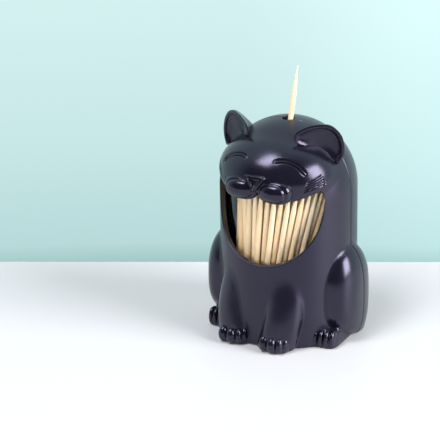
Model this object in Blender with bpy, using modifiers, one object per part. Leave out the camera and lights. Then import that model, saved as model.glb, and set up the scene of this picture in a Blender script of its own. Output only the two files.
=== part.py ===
"""A toothpick dispenser in the shape of a sitting cat.

The cat is a domed barrel moulded as a front and a rear shell. It stands over a clear cup full of
toothpicks and lifts off the cup for filling. A funnel under the crown leads one toothpick at a time
to the hole in the head. The cat faces -Y, +Z is up, and the origin is on the table under the crown's
centre. All lengths are in metres. Run it with: blender --background --python part.py
"""

import math

import bmesh
import bpy
from mathutils import Matrix, Vector

# Clearances shared by all pieces
GAP = 0.0003
OVERRUN = 0.003
MERGE_DISTANCE = 0.00001
ROUND_STEPS = 48

# Toothpicks
PICK_LENGTH = 0.0650
PICK_RADIUS = 0.00105
PICK_POINT_RADIUS = 0.00012
PICK_TAPER = 0.0120
PICK_SIDES = 8

# Barrel's radius and wall, which the cup and the base fit inside
BODY_RADIUS = 0.0275
WALL = 0.0023
INNER_RADIUS = BODY_RADIUS - WALL

# Base cap and its grip ring
CAP_FLANGE = 0.0010
RING_SECTION = 0.0005
RING_GAP = 0.00025
RING_SIDES = 8
CAP_RADIUS = INNER_RADIUS - GAP
CAP_NECK_RADIUS = INNER_RADIUS - 2 * (RING_SECTION + RING_GAP)
CAP_NECK = 2 * (RING_SECTION + RING_GAP)
GRIP_POCKET_SHARE = 0.635
GRIP_POCKET_DEPTH = 0.0011
GRIP_BAR = 0.0070

# Clear cup
CUP_CLEARANCE = 0.0010
CUP_WALL = 0.0013
CUP_FLOOR = 0.0014
CUP_RADIUS = INNER_RADIUS - CUP_CLEARANCE
CUP_INNER_RADIUS = CUP_RADIUS - CUP_WALL
CUP_BOTTOM_Z = CAP_FLANGE + CAP_NECK
CUP_FLOOR_Z = CUP_BOTTOM_Z + CUP_FLOOR

# Heights that follow the toothpicks: the funnel clears their points, and the dome clears the funnel
FUNNEL_RIM_Z = CUP_FLOOR_Z + PICK_LENGTH + PICK_RADIUS
DOME_RISE_SHARE = 0.34364
DOME_CENTRE_Z = FUNNEL_RIM_Z - DOME_RISE_SHARE * BODY_RADIUS
BODY_HEIGHT = DOME_CENTRE_Z + BODY_RADIUS
INNER_CROWN_Z = BODY_HEIGHT - WALL
CUP_RISE_SHARE = 0.1818
CUP_RIM_Z = DOME_CENTRE_Z + CUP_RISE_SHARE * BODY_RADIUS
DOME_ARCS = 12

# Hole in the crown and the boss that traps the funnel's flange
HOLE_RADIUS = 0.0024
BOSS_RADIUS = 0.0072
BOSS_DEPTH = 0.0045
BOSS_BOTTOM_Z = INNER_CROWN_Z - BOSS_DEPTH

# Throat funnel
FLANGE_RADIUS = 0.0052
FLANGE_THICKNESS = 0.0012
FLANGE_TOP_Z = INNER_CROWN_Z - 1.5 * FLANGE_THICKNESS
FLANGE_BOTTOM_Z = FLANGE_TOP_Z - FLANGE_THICKNESS
FUNNEL_WALL = 0.0010
FUNNEL_CLEARANCE = 0.0014
NECK_RADIUS = HOLE_RADIUS + FUNNEL_WALL
NECK_BOTTOM_Z = BOSS_BOTTOM_Z - FUNNEL_WALL / 2
FUNNEL_TOP_RISE = FUNNEL_RIM_Z + FUNNEL_WALL - DOME_CENTRE_Z
FUNNEL_RIM_RADIUS = math.sqrt(INNER_RADIUS ** 2 - FUNNEL_TOP_RISE ** 2) - FUNNEL_CLEARANCE

# Store of toothpicks, standing round the cup's wall
STOCK_COUNT = 50
STOCK_SHOULDER_RADIUS = CUP_INNER_RADIUS - 1.1 * PICK_RADIUS
STOCK_TOP_RADIUS = CUP_INNER_RADIUS - GAP
STOCK_SPLAY_SHARE = 0.3886
STOCK_STAGGER_SHARE = 0.1223

# All toothpicks drift the same way over their length, towards this bearing from the cat's nose
STOCK_DRIFT_SHARE = 0.3787
STOCK_DRIFT = STOCK_DRIFT_SHARE * CUP_INNER_RADIUS
LEAN = math.atan2(STOCK_DRIFT, PICK_LENGTH)
LEAN_BEARING = math.radians(118.5)
DISPENSED_OFFSET = 0.0010
DISPENSED_OUT = 0.0217

# The cat's features are given in shares of the barrel's radius, so that they grow with it. Those of
# the head are counted from the dome's centre, and those of the limbs from the table.

# Mouth window, cut straight along Y: a wide arch hung below the upper lip
MOUTH_HALF_WIDTH_SHARE = 0.8436
MOUTH_CENTRE_SHARE = 0.0545
MOUTH_HEIGHT_SHARE = 0.9818
MOUTH_EXPONENT = 2.4
MOUTH_POINTS = 32
LIP_CORNER_SHARES = (0.8073, 0.2073)
LIP_CENTRE_SHARES = (0.0, 0.2000)
LIP_LOW_SHARES = (0.4545, 0.0945)

# Face mask, cheek pads and nose
FACE_CENTRE_SHARES = (0.0, -0.2909, 0.3091)
FACE_RADII_SHARES = (0.8909, 0.7636, 0.5818)
PAD_CENTRE_SHARES = (0.2982, -0.9309, 0.2218)
PAD_RADII_SHARES = (0.2691, 0.1891, 0.1927)
NOSE_CORNER_SHARES = (0.1673, -1.0364, 0.4618)
NOSE_TIP_SHARES = (0.0, -1.1091, 0.2545)
NOSE_DEPTH_SHARE = 0.1455
NOSE_BULGE_SHARE = 0.0364
NOSE_FACE_SHARE = 0.7

# Right ear: the rim's curve from the forehead over the tip to the cheek, then the ridge behind it
EAR_INNER_SHARES = (0.3782, -0.5564, 0.8982)
EAR_CREST_SHARES = (0.5927, -0.5164, 1.1055)
EAR_TIP_SHARES = (0.8473, -0.2436, 1.0327)
EAR_SIDE_SHARES = (0.9600, -0.1673, 0.7636)
EAR_OUTER_SHARES = (0.8800, -0.2255, 0.5200)
EAR_RIDGE_TOP_SHARES = (0.7273, -0.2327, 1.0509)
EAR_RIDGE_MIDDLE_SHARES = (0.6400, -0.1636, 1.0073)
EAR_RIDGE_LOW_SHARES = (0.5818, -0.0727, 0.9382)
EAR_BACK_TOP_SHARES = (0.5600, -0.0291, 0.8764)
EAR_BACK_LOW_SHARES = (0.8727, -0.0291, 0.4727)
EAR_ROOT_SHARES = (0.4364, -0.2182, 0.6364)
EAR_CURVE_STEPS = 4
EAR_RIM_SHARE = 0.0473
EAR_DISH_SHARE = 0.0945
EAR_FLOOR_SHARE = 0.55

# Haunches: a cushion turned about X over a column that tapers to the table
HAUNCH_CENTRE_SHARES = (0.8764, -0.0509, 0.7273)
HAUNCH_RADII_SHARES = (0.3382, 0.5055, 0.6982)
HAUNCH_EXPONENT = 2.3
HAUNCH_ARCS = 16
HAUNCH_STEPS = 32
COLUMN_TOP_SHARE = 0.975
COLUMN_FOOT_SHARE = 0.70
COLUMN_EXPONENT = 1.6
COLUMN_HEIGHT_SHARE = 0.8727
COLUMN_RINGS = 5

# Front legs: a round-topped column that leans inwards and forwards to the paw
LEG_TOP_SHARES = (0.4436, -0.8945, 1.1055)
LEG_FOOT_SHARES = (0.3709, -0.9673, 0.0)
LEG_RADIUS_SHARE = 0.2291
LEG_ANKLE_SHARE = 0.2109
LEG_CAP_SHARE = 0.3818
LEG_ARCS = 6
LEG_STEPS = 24

# Paws: a rounded pad with four toes set on an arc
FRONT_PAW_CENTRE_SHARES = (0.3309, -1.0291, 0.0945)
FRONT_PAW_RADII_SHARES = (0.2655, 0.1891, 0.1600)
HIND_PAW_CENTRE_SHARES = (0.8945, -0.4545, 0.0945)
HIND_PAW_RADII_SHARES = (0.2327, 0.2909, 0.1745)
TOE_RADII_SHARES = (0.0691, 0.1127, 0.1236)
TOE_HEIGHT_SHARE = 0.1091
TOE_COUNT = 4
TOE_SPREAD = math.radians(40)
TOE_BEND_SHARE = 0.2182
TOE_PROUD_SHARE = 0.0364
TOE_SEGMENTS = 12
TOE_RINGS = 7
ELLIPSOID_SEGMENTS = 28
ELLIPSOID_RINGS = 16

# Tail, lying against the back: bearings from the nose and heights along it
TAIL_RADIUS_SHARE = 0.1164
TAIL_TIP_SHARE = 0.69
TAIL_START_BEARING = math.radians(120)
TAIL_END_BEARING = math.radians(208)
TAIL_START_SHARE = 0.1455
TAIL_END_SHARE = 1.4545
TAIL_ROUNDING = 14
TAIL_POINTS = 20
TAIL_SIDES = 3


def over_table(shares):
    """Point or lengths on the limbs, from their shares of the barrel's radius."""
    return Vector(shares) * BODY_RADIUS


def on_head(shares):
    """Point on the head, from its shares of the barrel's radius about the dome's centre."""
    return over_table(shares) + Vector((0.0, 0.0, DOME_CENTRE_Z))


def collection(name):
    """Make a collection and link it to the scene."""
    made = bpy.data.collections.new(name)
    bpy.context.scene.collection.children.link(made)
    return made


def material(name, colour, roughness, metallic=0.0, transmission=0.0):
    """Make a Principled material from a linear colour and its surface values."""
    made = bpy.data.materials.new(name)
    made.use_nodes = True
    shader = made.node_tree.nodes["Principled BSDF"]
    shader.inputs["Base Color"].default_value = (*colour, 1.0)
    shader.inputs["Roughness"].default_value = roughness
    shader.inputs["Metallic"].default_value = metallic
    shader.inputs["Transmission Weight"].default_value = transmission
    return made


def add_object(name, mesh, home):
    """Make an object from a mesh and link it to a collection."""
    made = bpy.data.objects.new(name, mesh)
    home.objects.link(made)
    return made


def as_cutter(obj):
    """Hide a helper from the render and show it as wires."""
    obj.hide_render = True
    obj.display_type = "WIRE"
    return obj


def smooth(obj):
    """Shade a round piece smooth, with its hard edges kept."""
    obj.data.shade_smooth()
    obj.data.set_sharp_from_angle(angle=math.radians(35))
    return obj


def mesh_from(name, fill):
    """Make a mesh by letting a function fill a new bmesh."""
    mesh = bpy.data.meshes.new(name)
    shape = bmesh.new()
    fill(shape)
    shape.to_mesh(mesh)
    shape.free()
    return mesh


def turned(name, profile, home, steps=ROUND_STEPS, closed=False):
    """Turn a profile of (radius, height) points round the Z axis with a Screw modifier.

    The profile starts half a step off the X axis, so that no corner lies on a plane of symmetry.
    """
    count = len(profile)
    start = math.pi / steps
    edges = [(i, (i + 1) % count) for i in range(count if closed else count - 1)]
    mesh = bpy.data.meshes.new(name)
    corners = [
        (radius * math.cos(start), radius * math.sin(start), height) for radius, height in profile]
    mesh.from_pydata(corners, edges, [])
    obj = add_object(name, mesh, home)
    screw = obj.modifiers.new("turn", "SCREW")
    screw.axis = "Z"
    screw.steps = steps
    screw.render_steps = steps
    screw.use_merge_vertices = True
    screw.merge_threshold = MERGE_DISTANCE
    screw.use_smooth_shade = True
    return obj


def ellipsoid(name, centre, radii, home, segments=ELLIPSOID_SEGMENTS, rings=ELLIPSOID_RINGS):
    """Make a sphere scaled to three radii about a centre."""
    def fill(shape):
        bmesh.ops.create_uvsphere(shape, u_segments=segments, v_segments=rings, radius=1.0)
        half_step = Matrix.Rotation(math.pi / segments, 3, "Z")
        bmesh.ops.rotate(shape, cent=Vector(), matrix=half_step, verts=shape.verts)
        bmesh.ops.scale(shape, vec=radii, verts=shape.verts)
    obj = add_object(name, mesh_from(name, fill), home)
    obj.location = centre
    return smooth(obj)


def hull(name, points, home):
    """Make the tight solid round a set of points."""
    def fill(shape):
        for point in points:
            shape.verts.new(point)
        made = bmesh.ops.convex_hull(shape, input=shape.verts)
        loose = [item for item in made["geom_interior"] if isinstance(item, bmesh.types.BMVert)]
        bmesh.ops.delete(shape, geom=loose, context="VERTS")
        bmesh.ops.recalc_face_normals(shape, faces=shape.faces)
    return add_object(name, mesh_from(name, fill), home)


def box(name, low, high, home):
    """Make a box between two corners."""
    size = Vector(high) - Vector(low)
    centre = (Vector(high) + Vector(low)) / 2

    def fill(shape):
        bmesh.ops.create_cube(shape, size=1.0)
        bmesh.ops.scale(shape, vec=size, verts=shape.verts)
    obj = add_object(name, mesh_from(name, fill), home)
    obj.location = centre
    return obj


def solid_mesh_of(source):
    """Read an object's evaluated mesh, weld it and remove the object that it came from."""
    graph = bpy.context.evaluated_depsgraph_get()
    mesh = bpy.data.meshes.new_from_object(source.evaluated_get(graph))
    shape = bmesh.new()
    shape.from_mesh(mesh)
    bmesh.ops.remove_doubles(shape, verts=shape.verts, dist=MERGE_DISTANCE)
    bmesh.ops.recalc_face_normals(shape, faces=shape.faces)
    shape.to_mesh(mesh)
    shape.free()
    matrix = source.matrix_world.copy()
    bpy.data.objects.remove(source)
    return mesh, matrix


def combine(target, other, operation):
    """Join or cut an object with another through a Boolean modifier."""
    boolean = target.modifiers.new(other.name, "BOOLEAN")
    boolean.operation = operation
    boolean.object = other
    return target


def cut(target, *cutters):
    """Cut a solid with each of the cutters."""
    for cutter in cutters:
        combine(target, cutter, "DIFFERENCE")


def join(target, *others):
    """Join other solids to a solid."""
    for other in others:
        combine(target, other, "UNION")


def dome_profile(radius, hub_radius=0.0):
    """Points of a quarter circle about the dome's centre, from a hub down to its widest place."""
    start = math.asin(hub_radius / radius)
    turns = [start + (math.pi / 2 - start) * k / DOME_ARCS for k in range(DOME_ARCS + 1)]
    return [(radius * math.sin(turn), DOME_CENTRE_Z + radius * math.cos(turn)) for turn in turns]


def barrel_profile():
    """Outer profile of the body: dome, then straight wall past the table, which cuts it later."""
    return dome_profile(BODY_RADIUS) + [(BODY_RADIUS, -OVERRUN), (0.0, -OVERRUN)]


def cavity_profile():
    """Profile of the room inside the shells: round the crown's boss and open at the table."""
    return [
        (0.0, BOSS_BOTTOM_Z), (BOSS_RADIUS, BOSS_BOTTOM_Z),
        *dome_profile(INNER_RADIUS, BOSS_RADIUS),
        (INNER_RADIUS, -2 * OVERRUN), (0.0, -2 * OVERRUN)]


def throat_profile():
    """Profile of the crown's hole, the groove for the funnel's flange and the bore below it."""
    groove_radius = FLANGE_RADIUS + GAP
    bore_radius = NECK_RADIUS + GAP
    return [
        (0.0, BODY_HEIGHT + OVERRUN), (HOLE_RADIUS, BODY_HEIGHT + OVERRUN),
        (HOLE_RADIUS, FLANGE_TOP_Z + GAP), (groove_radius, FLANGE_TOP_Z + GAP),
        (groove_radius, FLANGE_BOTTOM_Z - GAP), (bore_radius, FLANGE_BOTTOM_Z - GAP),
        (bore_radius, BOSS_BOTTOM_Z - OVERRUN), (0.0, BOSS_BOTTOM_Z - OVERRUN)]


def cushion_profile():
    """Profile of the haunch's cushion, a rounded disc about its own axis."""
    radii = over_table(HAUNCH_RADII_SHARES)
    points = []
    for k in range(HAUNCH_ARCS + 1):
        turn = math.pi * k / HAUNCH_ARCS
        power = 2 / HAUNCH_EXPONENT
        side = math.copysign(abs(math.cos(turn)) ** power, math.cos(turn))
        points.append((radii.y * math.sin(turn) ** power, radii.x * side))
    points[0] = (0.0, radii.x)
    points[-1] = (0.0, -radii.x)
    return points


def column_profile():
    """Profile of the haunch's column, with its radius measured along Y."""
    height = COLUMN_HEIGHT_SHARE * BODY_RADIUS
    full_radius = HAUNCH_RADII_SHARES[1] * BODY_RADIUS
    points = [(0.0, height)]
    for k in range(COLUMN_RINGS + 1):
        share = k / COLUMN_RINGS
        narrowing = (COLUMN_TOP_SHARE - COLUMN_FOOT_SHARE) * share ** COLUMN_EXPONENT
        points.append((full_radius * (COLUMN_TOP_SHARE - narrowing), height * (1 - share)))
    return points + [(full_radius * COLUMN_FOOT_SHARE, -OVERRUN), (0.0, -OVERRUN)]


def mouth_outline():
    """Outline of the mouth window as (x, z), once round from the right lip corner downwards."""
    half_width = MOUTH_HALF_WIDTH_SHARE * BODY_RADIUS
    height = MOUTH_HEIGHT_SHARE * BODY_RADIUS
    centre_z = DOME_CENTRE_Z + MOUTH_CENTRE_SHARE * BODY_RADIUS
    outline = []
    for k in range(MOUTH_POINTS + 1):
        turn = math.pi * k / MOUTH_POINTS
        cosine, sine = math.cos(turn), math.sin(turn)
        x = half_width * math.copysign(abs(cosine) ** (2 / MOUTH_EXPONENT), cosine)
        outline.append((x, centre_z - height * sine ** (2 / MOUTH_EXPONENT)))
    lip = (LIP_CORNER_SHARES, LIP_LOW_SHARES)
    left = [(-x_share, z_share) for x_share, z_share in lip]
    for x_share, z_share in [*left, LIP_CENTRE_SHARES, *reversed(lip)]:
        outline.append((x_share * BODY_RADIUS, DOME_CENTRE_Z + z_share * BODY_RADIUS))
    return outline


def mouth_cutter(home):
    """Extrude the mouth's outline along Y, from in front of the face to the seam."""
    front_y = (PAD_CENTRE_SHARES[1] - 2 * PAD_RADII_SHARES[1]) * BODY_RADIUS
    curve = bpy.data.curves.new("mouth_outline", "CURVE")
    curve.dimensions = "2D"
    curve.fill_mode = "BOTH"
    curve.extrude = -front_y / 2
    points = mouth_outline()
    spline = curve.splines.new("POLY")
    spline.points.add(len(points) - 1)
    for slot, (x, z) in zip(spline.points, points):
        slot.co = (x, z, 0.0, 1.0)
    spline.use_cyclic_u = True
    source = bpy.data.objects.new("mouth_outline", curve)
    home.objects.link(source)
    source.matrix_world = (
        Matrix.Translation((0.0, front_y / 2, 0.0)) @ Matrix.Rotation(math.pi / 2, 4, "X"))
    bpy.context.view_layer.update()
    mesh, matrix = solid_mesh_of(source)
    cutter = add_object("mouth_cutter", mesh, home)
    cutter.matrix_world = matrix
    return cutter


def front_leg(home):
    """Right front leg, turned about an axis that leans from its top to its paw."""
    top, foot = over_table(LEG_TOP_SHARES), over_table(LEG_FOOT_SHARES)
    length = (top - foot).length
    radius, ankle_radius, cap = over_table((LEG_RADIUS_SHARE, LEG_ANKLE_SHARE, LEG_CAP_SHARE))
    profile = []
    for k in range(LEG_ARCS + 1):
        turn = math.pi / 2 * k / LEG_ARCS
        profile.append((radius * math.sin(turn), length - cap * (1 - math.cos(turn))))
    profile += [(ankle_radius, -OVERRUN), (0.0, -OVERRUN)]
    leg = turned("front_leg", profile, home, LEG_STEPS)
    leg.location = foot
    leg.rotation_euler = (top - foot).to_track_quat("Z", "Y").to_euler()
    return leg


def paw(name, centre_shares, radii_shares, home):
    """A paw's pad and its toes, as a list of solids."""
    centre, radii = over_table(centre_shares), over_table(radii_shares)
    toe_radii = over_table(TOE_RADII_SHARES)
    height, bend, proud = over_table((TOE_HEIGHT_SHARE, TOE_BEND_SHARE, TOE_PROUD_SHARE))
    solids = [ellipsoid(name, centre, radii, home)]
    for k in range(TOE_COUNT):
        share = 2 * k / (TOE_COUNT - 1) - 1
        turn = TOE_SPREAD * share
        toe_centre = (
            centre.x + (radii.x - toe_radii.x) * share,
            centre.y - (radii.y - toe_radii.y) - proud + bend * (1 - math.cos(turn)),
            height)
        solids.append(ellipsoid(
            f"{name}_toe_{k + 1}", toe_centre, toe_radii, home, TOE_SEGMENTS, TOE_RINGS))
    return solids


def nose(home):
    """Nose: a triangle that points down, with a raised middle."""
    right = on_head(NOSE_CORNER_SHARES)
    back = [Vector((-right.x, right.y, right.z)), right, on_head(NOSE_TIP_SHARES)]
    middle = sum(back, Vector()) / len(back)
    inwards = over_table((0.0, NOSE_DEPTH_SHARE, 0.0))
    outwards = over_table((0.0, -NOSE_BULGE_SHARE, 0.0))
    root = [point + inwards for point in back]
    face = [middle + (point - middle) * NOSE_FACE_SHARE + outwards for point in back]
    return hull("nose", root + back + face, home)


def ear_rim():
    """Corners of the right ear's rim, on a smooth curve through its five named points."""
    named = [on_head(shares) for shares in (
        EAR_INNER_SHARES, EAR_CREST_SHARES, EAR_TIP_SHARES, EAR_SIDE_SHARES, EAR_OUTER_SHARES)]
    track = [2 * named[0] - named[1], *named, 2 * named[-1] - named[-2]]
    corners = []
    for before, start, end, after in zip(track, track[1:], track[2:], track[3:]):
        for k in range(EAR_CURVE_STEPS):
            share = k / EAR_CURVE_STEPS
            corners.append(0.5 * (
                2 * start + (end - before) * share
                + (2 * before - 5 * start + 4 * end - after) * share ** 2
                + (3 * start - before - 3 * end + after) * share ** 3))
    return corners + [named[-1]]


def ear(home):
    """Right ear's solid: the rim, tapered back along its ridge to the seam."""
    back = (
        EAR_RIDGE_TOP_SHARES, EAR_RIDGE_MIDDLE_SHARES, EAR_RIDGE_LOW_SHARES,
        EAR_BACK_TOP_SHARES, EAR_BACK_LOW_SHARES, EAR_ROOT_SHARES)
    return hull("ear", ear_rim() + [on_head(shares) for shares in back], home)


def ear_dish(home):
    """Cutter for the hollow in the front of the right ear, a rim inside its edge."""
    edge = ear_rim()
    middle = sum(edge, Vector()) / len(edge)
    rim, depth = EAR_RIM_SHARE * BODY_RADIUS, EAR_DISH_SHARE * BODY_RADIUS
    out = (edge[-1] - edge[0]).cross(on_head(EAR_TIP_SHARES) - edge[0]).normalized()
    inset = [point + (middle - point).normalized() * rim for point in edge]
    mouth = [point + out * OVERRUN for point in inset]
    floor = [middle + (point - middle) * EAR_FLOOR_SHARE - out * depth for point in inset]
    return hull("ear_dish", mouth + inset + floor, home)


def haunch(home):
    """Right haunch: the cushion lies on its side over its column."""
    centre, radii = over_table(HAUNCH_CENTRE_SHARES), over_table(HAUNCH_RADII_SHARES)
    cushion = turned("haunch", cushion_profile(), home, HAUNCH_STEPS)
    cushion.location = centre
    cushion.rotation_euler = (0.0, math.pi / 2, 0.0)
    cushion.scale = (radii.z / radii.y, 1.0, 1.0)
    column = turned("haunch_column", column_profile(), home, HAUNCH_STEPS)
    column.location = (centre.x, centre.y, 0.0)
    column.scale = (radii.x / radii.y, 1.0, 1.0)
    join(cushion, column)
    return cushion


def both_sides(solid, home):
    """Turn a right-hand helper into a fixed mesh and add its mirror image as its left-hand twin."""
    name = solid.name
    bpy.context.view_layer.update()
    mesh, matrix = solid_mesh_of(solid)
    right = add_object(f"right_{name}", mesh, home)
    left = add_object(f"left_{name}", mesh, home)
    right.matrix_world = matrix
    left.matrix_world = Matrix.Diagonal((-1.0, 1.0, 1.0, 1.0)) @ matrix
    return right, left


def limbs(home):
    """Right haunch, front leg and both right paws as one solid."""
    limb = haunch(home)
    join(limb, front_leg(home))
    join(limb, *paw("front_paw", FRONT_PAW_CENTRE_SHARES, FRONT_PAW_RADII_SHARES, home))
    join(limb, *paw("hind_paw", HIND_PAW_CENTRE_SHARES, HIND_PAW_RADII_SHARES, home))
    return limb


def shells(parts, helpers, black):
    """Front and rear shells of the cat, split along the plane y = 0."""
    reach = BODY_HEIGHT + BODY_RADIUS
    cavity = turned("cavity", cavity_profile(), helpers)
    throat = turned("throat", throat_profile(), helpers)
    sides = both_sides(limbs(helpers), helpers)
    face = ellipsoid(
        "face", on_head(FACE_CENTRE_SHARES), over_table(FACE_RADII_SHARES), helpers)
    pad = ellipsoid(
        "cheek_pad", on_head(PAD_CENTRE_SHARES), over_table(PAD_RADII_SHARES), helpers)
    below_table = box("below_table", (-reach, -reach, -reach), (reach, reach, 0.0), helpers)
    behind_seam = box("behind_seam", (-reach, -GAP / 2, -reach), (reach, reach, reach), helpers)
    before_seam = box("before_seam", (-reach, -reach, -reach), (reach, GAP / 2, reach), helpers)

    front = turned("front_shell", barrel_profile(), parts)
    join(front, *both_sides(ear(helpers), helpers))
    cut(front, *both_sides(ear_dish(helpers), helpers))
    join(front, *sides, face)
    cut(front, behind_seam, mouth_cutter(helpers))
    join(front, *both_sides(pad, helpers))
    join(front, nose(helpers))
    cut(front, cavity, throat, below_table)

    rear = turned("rear_shell", barrel_profile(), parts)
    join(rear, *sides, tail(helpers))
    cut(rear, before_seam, cavity, throat, below_table)

    for shell in (front, rear):
        shell.data.materials.append(black)
    for helper in helpers.objects:
        as_cutter(helper)
    return front, rear


def tail(home):
    """Tail as a round bar that climbs the back, half sunk into the wall."""
    curve = bpy.data.curves.new("tail_path", "CURVE")
    curve.dimensions = "3D"
    curve.bevel_depth = TAIL_RADIUS_SHARE * BODY_RADIUS
    curve.bevel_resolution = TAIL_SIDES
    curve.use_fill_caps = True
    spline = curve.splines.new("POLY")
    spline.points.add(TAIL_POINTS - 1)
    for k, slot in enumerate(spline.points):
        share = k / (TAIL_POINTS - 1)
        bearing = TAIL_START_BEARING + (TAIL_END_BEARING - TAIL_START_BEARING) * math.sin(
            math.pi / 2 * share)
        height_share = TAIL_START_SHARE + (TAIL_END_SHARE - TAIL_START_SHARE) * share ** 2
        place = over_table((math.sin(bearing), -math.cos(bearing), height_share))
        slot.co = (*place, 1.0)
        tip = math.sqrt(1 - (share * (1 - 1 / TAIL_POINTS ** 2)) ** TAIL_ROUNDING)
        slot.radius = (1 - (1 - TAIL_TIP_SHARE) * share) * tip
    source = bpy.data.objects.new("tail_path", curve)
    home.objects.link(source)
    bpy.context.view_layer.update()
    mesh, matrix = solid_mesh_of(source)
    made = add_object("tail", mesh, home)
    made.matrix_world = matrix
    return made


def funnel(parts, white):
    """Throat funnel: a flanged neck over a shallow cone that spans the cup's mouth."""
    profile = [
        (NECK_RADIUS, FLANGE_TOP_Z), (FLANGE_RADIUS, FLANGE_TOP_Z),
        (FLANGE_RADIUS, FLANGE_BOTTOM_Z), (NECK_RADIUS, FLANGE_BOTTOM_Z),
        (NECK_RADIUS, NECK_BOTTOM_Z), (FUNNEL_RIM_RADIUS, FUNNEL_RIM_Z + FUNNEL_WALL),
        (FUNNEL_RIM_RADIUS, FUNNEL_RIM_Z),
        (FUNNEL_RIM_RADIUS - FUNNEL_WALL, FUNNEL_RIM_Z),
        (HOLE_RADIUS, NECK_BOTTOM_Z - FUNNEL_WALL), (HOLE_RADIUS, FLANGE_TOP_Z)]
    made = turned("throat_funnel", profile, parts, closed=True)
    made.data.materials.append(white)
    return made


def base_cap(parts, helpers, black):
    """Floor plate with a neck for the grip ring and a finger bar between two pockets."""
    top_z = CUP_BOTTOM_Z - GAP
    profile = [
        (0.0, top_z), (CAP_NECK_RADIUS, top_z), (CAP_NECK_RADIUS, CAP_FLANGE),
        (CAP_RADIUS, CAP_FLANGE), (CAP_RADIUS, 0.0), (0.0, 0.0)]
    cap = turned("base_cap", profile, parts)
    pocket_radius = GRIP_POCKET_SHARE * INNER_RADIUS
    pocket_profile = [
        (0.0, GRIP_POCKET_DEPTH), (pocket_radius, GRIP_POCKET_DEPTH),
        (pocket_radius, -OVERRUN), (0.0, -OVERRUN)]
    pockets = turned("grip_pockets", pocket_profile, helpers)
    bar = box(
        "grip_bar", (-GRIP_BAR / 2, -BODY_RADIUS, -BODY_RADIUS),
        (GRIP_BAR / 2, BODY_RADIUS, BODY_RADIUS), helpers)
    cut(pockets, bar)
    cut(cap, pockets)
    as_cutter(pockets)
    as_cutter(bar)
    cap.data.materials.append(black)
    return cap


def grip_ring(parts, rubber):
    """Rubber ring round the cap's neck."""
    bpy.ops.mesh.primitive_torus_add(
        major_segments=ROUND_STEPS, minor_segments=RING_SIDES,
        major_radius=CAP_NECK_RADIUS + RING_GAP + RING_SECTION, minor_radius=RING_SECTION,
        location=(0.0, 0.0, CAP_FLANGE + CAP_NECK / 2))
    ring = bpy.context.object
    ring.name = "grip_ring"
    for owner in list(ring.users_collection):
        owner.objects.unlink(ring)
    parts.objects.link(ring)
    smooth(ring)
    ring.data.materials.append(rubber)
    return ring


def clear_cup(parts, clear):
    """Cup that holds the store, open at the top."""
    profile = [
        (0.0, CUP_FLOOR_Z), (CUP_INNER_RADIUS, CUP_FLOOR_Z), (CUP_INNER_RADIUS, CUP_RIM_Z),
        (CUP_RADIUS, CUP_RIM_Z), (CUP_RADIUS, CUP_BOTTOM_Z), (0.0, CUP_BOTTOM_Z)]
    cup = turned("clear_cup", profile, parts)
    cup.data.materials.append(clear)
    return cup


def toothpick_mesh(home, wood):
    """One toothpick's mesh, pointed at both ends, standing on the origin."""
    profile = [
        (0.0, PICK_LENGTH), (PICK_POINT_RADIUS, PICK_LENGTH),
        (PICK_RADIUS, PICK_LENGTH - PICK_TAPER), (PICK_RADIUS, PICK_TAPER),
        (PICK_POINT_RADIUS, 0.0), (0.0, 0.0)]
    source = turned("toothpick", profile, home, PICK_SIDES)
    bpy.context.view_layer.update()
    mesh, _ = solid_mesh_of(source)
    mesh.materials.append(wood)
    return mesh


def bearing_vector(bearing):
    """Level unit vector at a bearing from the cat's nose, turning towards +X."""
    return Vector((math.sin(bearing), -math.cos(bearing), 0.0))


def stock_ends(index):
    """Foot and top of one stored toothpick.

    The shoulders rest near the cup's wall in a ring. The feet stand in a narrower ring, drawn in by
    the splay and moved back by the common lean. Every second foot stands further in, so that
    neighbours pass each other.
    """
    outward = bearing_vector(2 * math.pi * index / STOCK_COUNT)
    drift = bearing_vector(LEAN_BEARING) * STOCK_DRIFT
    inset = CUP_INNER_RADIUS * (STOCK_SPLAY_SHARE + STOCK_STAGGER_SHARE * (index % 2))
    spread = (inset + drift.dot(outward)) * PICK_TAPER / PICK_LENGTH
    top = outward * min(STOCK_TOP_RADIUS, STOCK_SHOULDER_RADIUS + spread)
    foot = top - outward * inset - drift
    foot.z = CUP_FLOOR_Z + PICK_POINT_RADIUS
    level = (top - foot).xy.length
    top.z = foot.z + math.sqrt(PICK_LENGTH ** 2 - level ** 2)
    return foot, top


def stand(obj, foot, along):
    """Place a toothpick with its lower point at foot and its length along a direction."""
    obj.location = foot
    obj.rotation_euler = along.to_track_quat("Z", "Y").to_euler()


def toothpicks(parts, helpers, wood):
    """The store in the cup, and the one toothpick that stands out of the crown."""
    mesh = toothpick_mesh(helpers, wood)
    for index in range(STOCK_COUNT):
        foot, top = stock_ends(index)
        stand(add_object(f"toothpick_{index + 1:02d}", mesh, parts), foot, top - foot)
    sideways = bearing_vector(LEAN_BEARING)
    along = sideways * math.sin(LEAN) + Vector((0.0, 0.0, math.cos(LEAN)))
    at_crown = sideways * DISPENSED_OFFSET + Vector((0.0, 0.0, BODY_HEIGHT))
    foot = at_crown - along * (PICK_LENGTH - DISPENSED_OUT)
    stand(add_object("dispensed_toothpick", mesh, parts), foot, along)


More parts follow.
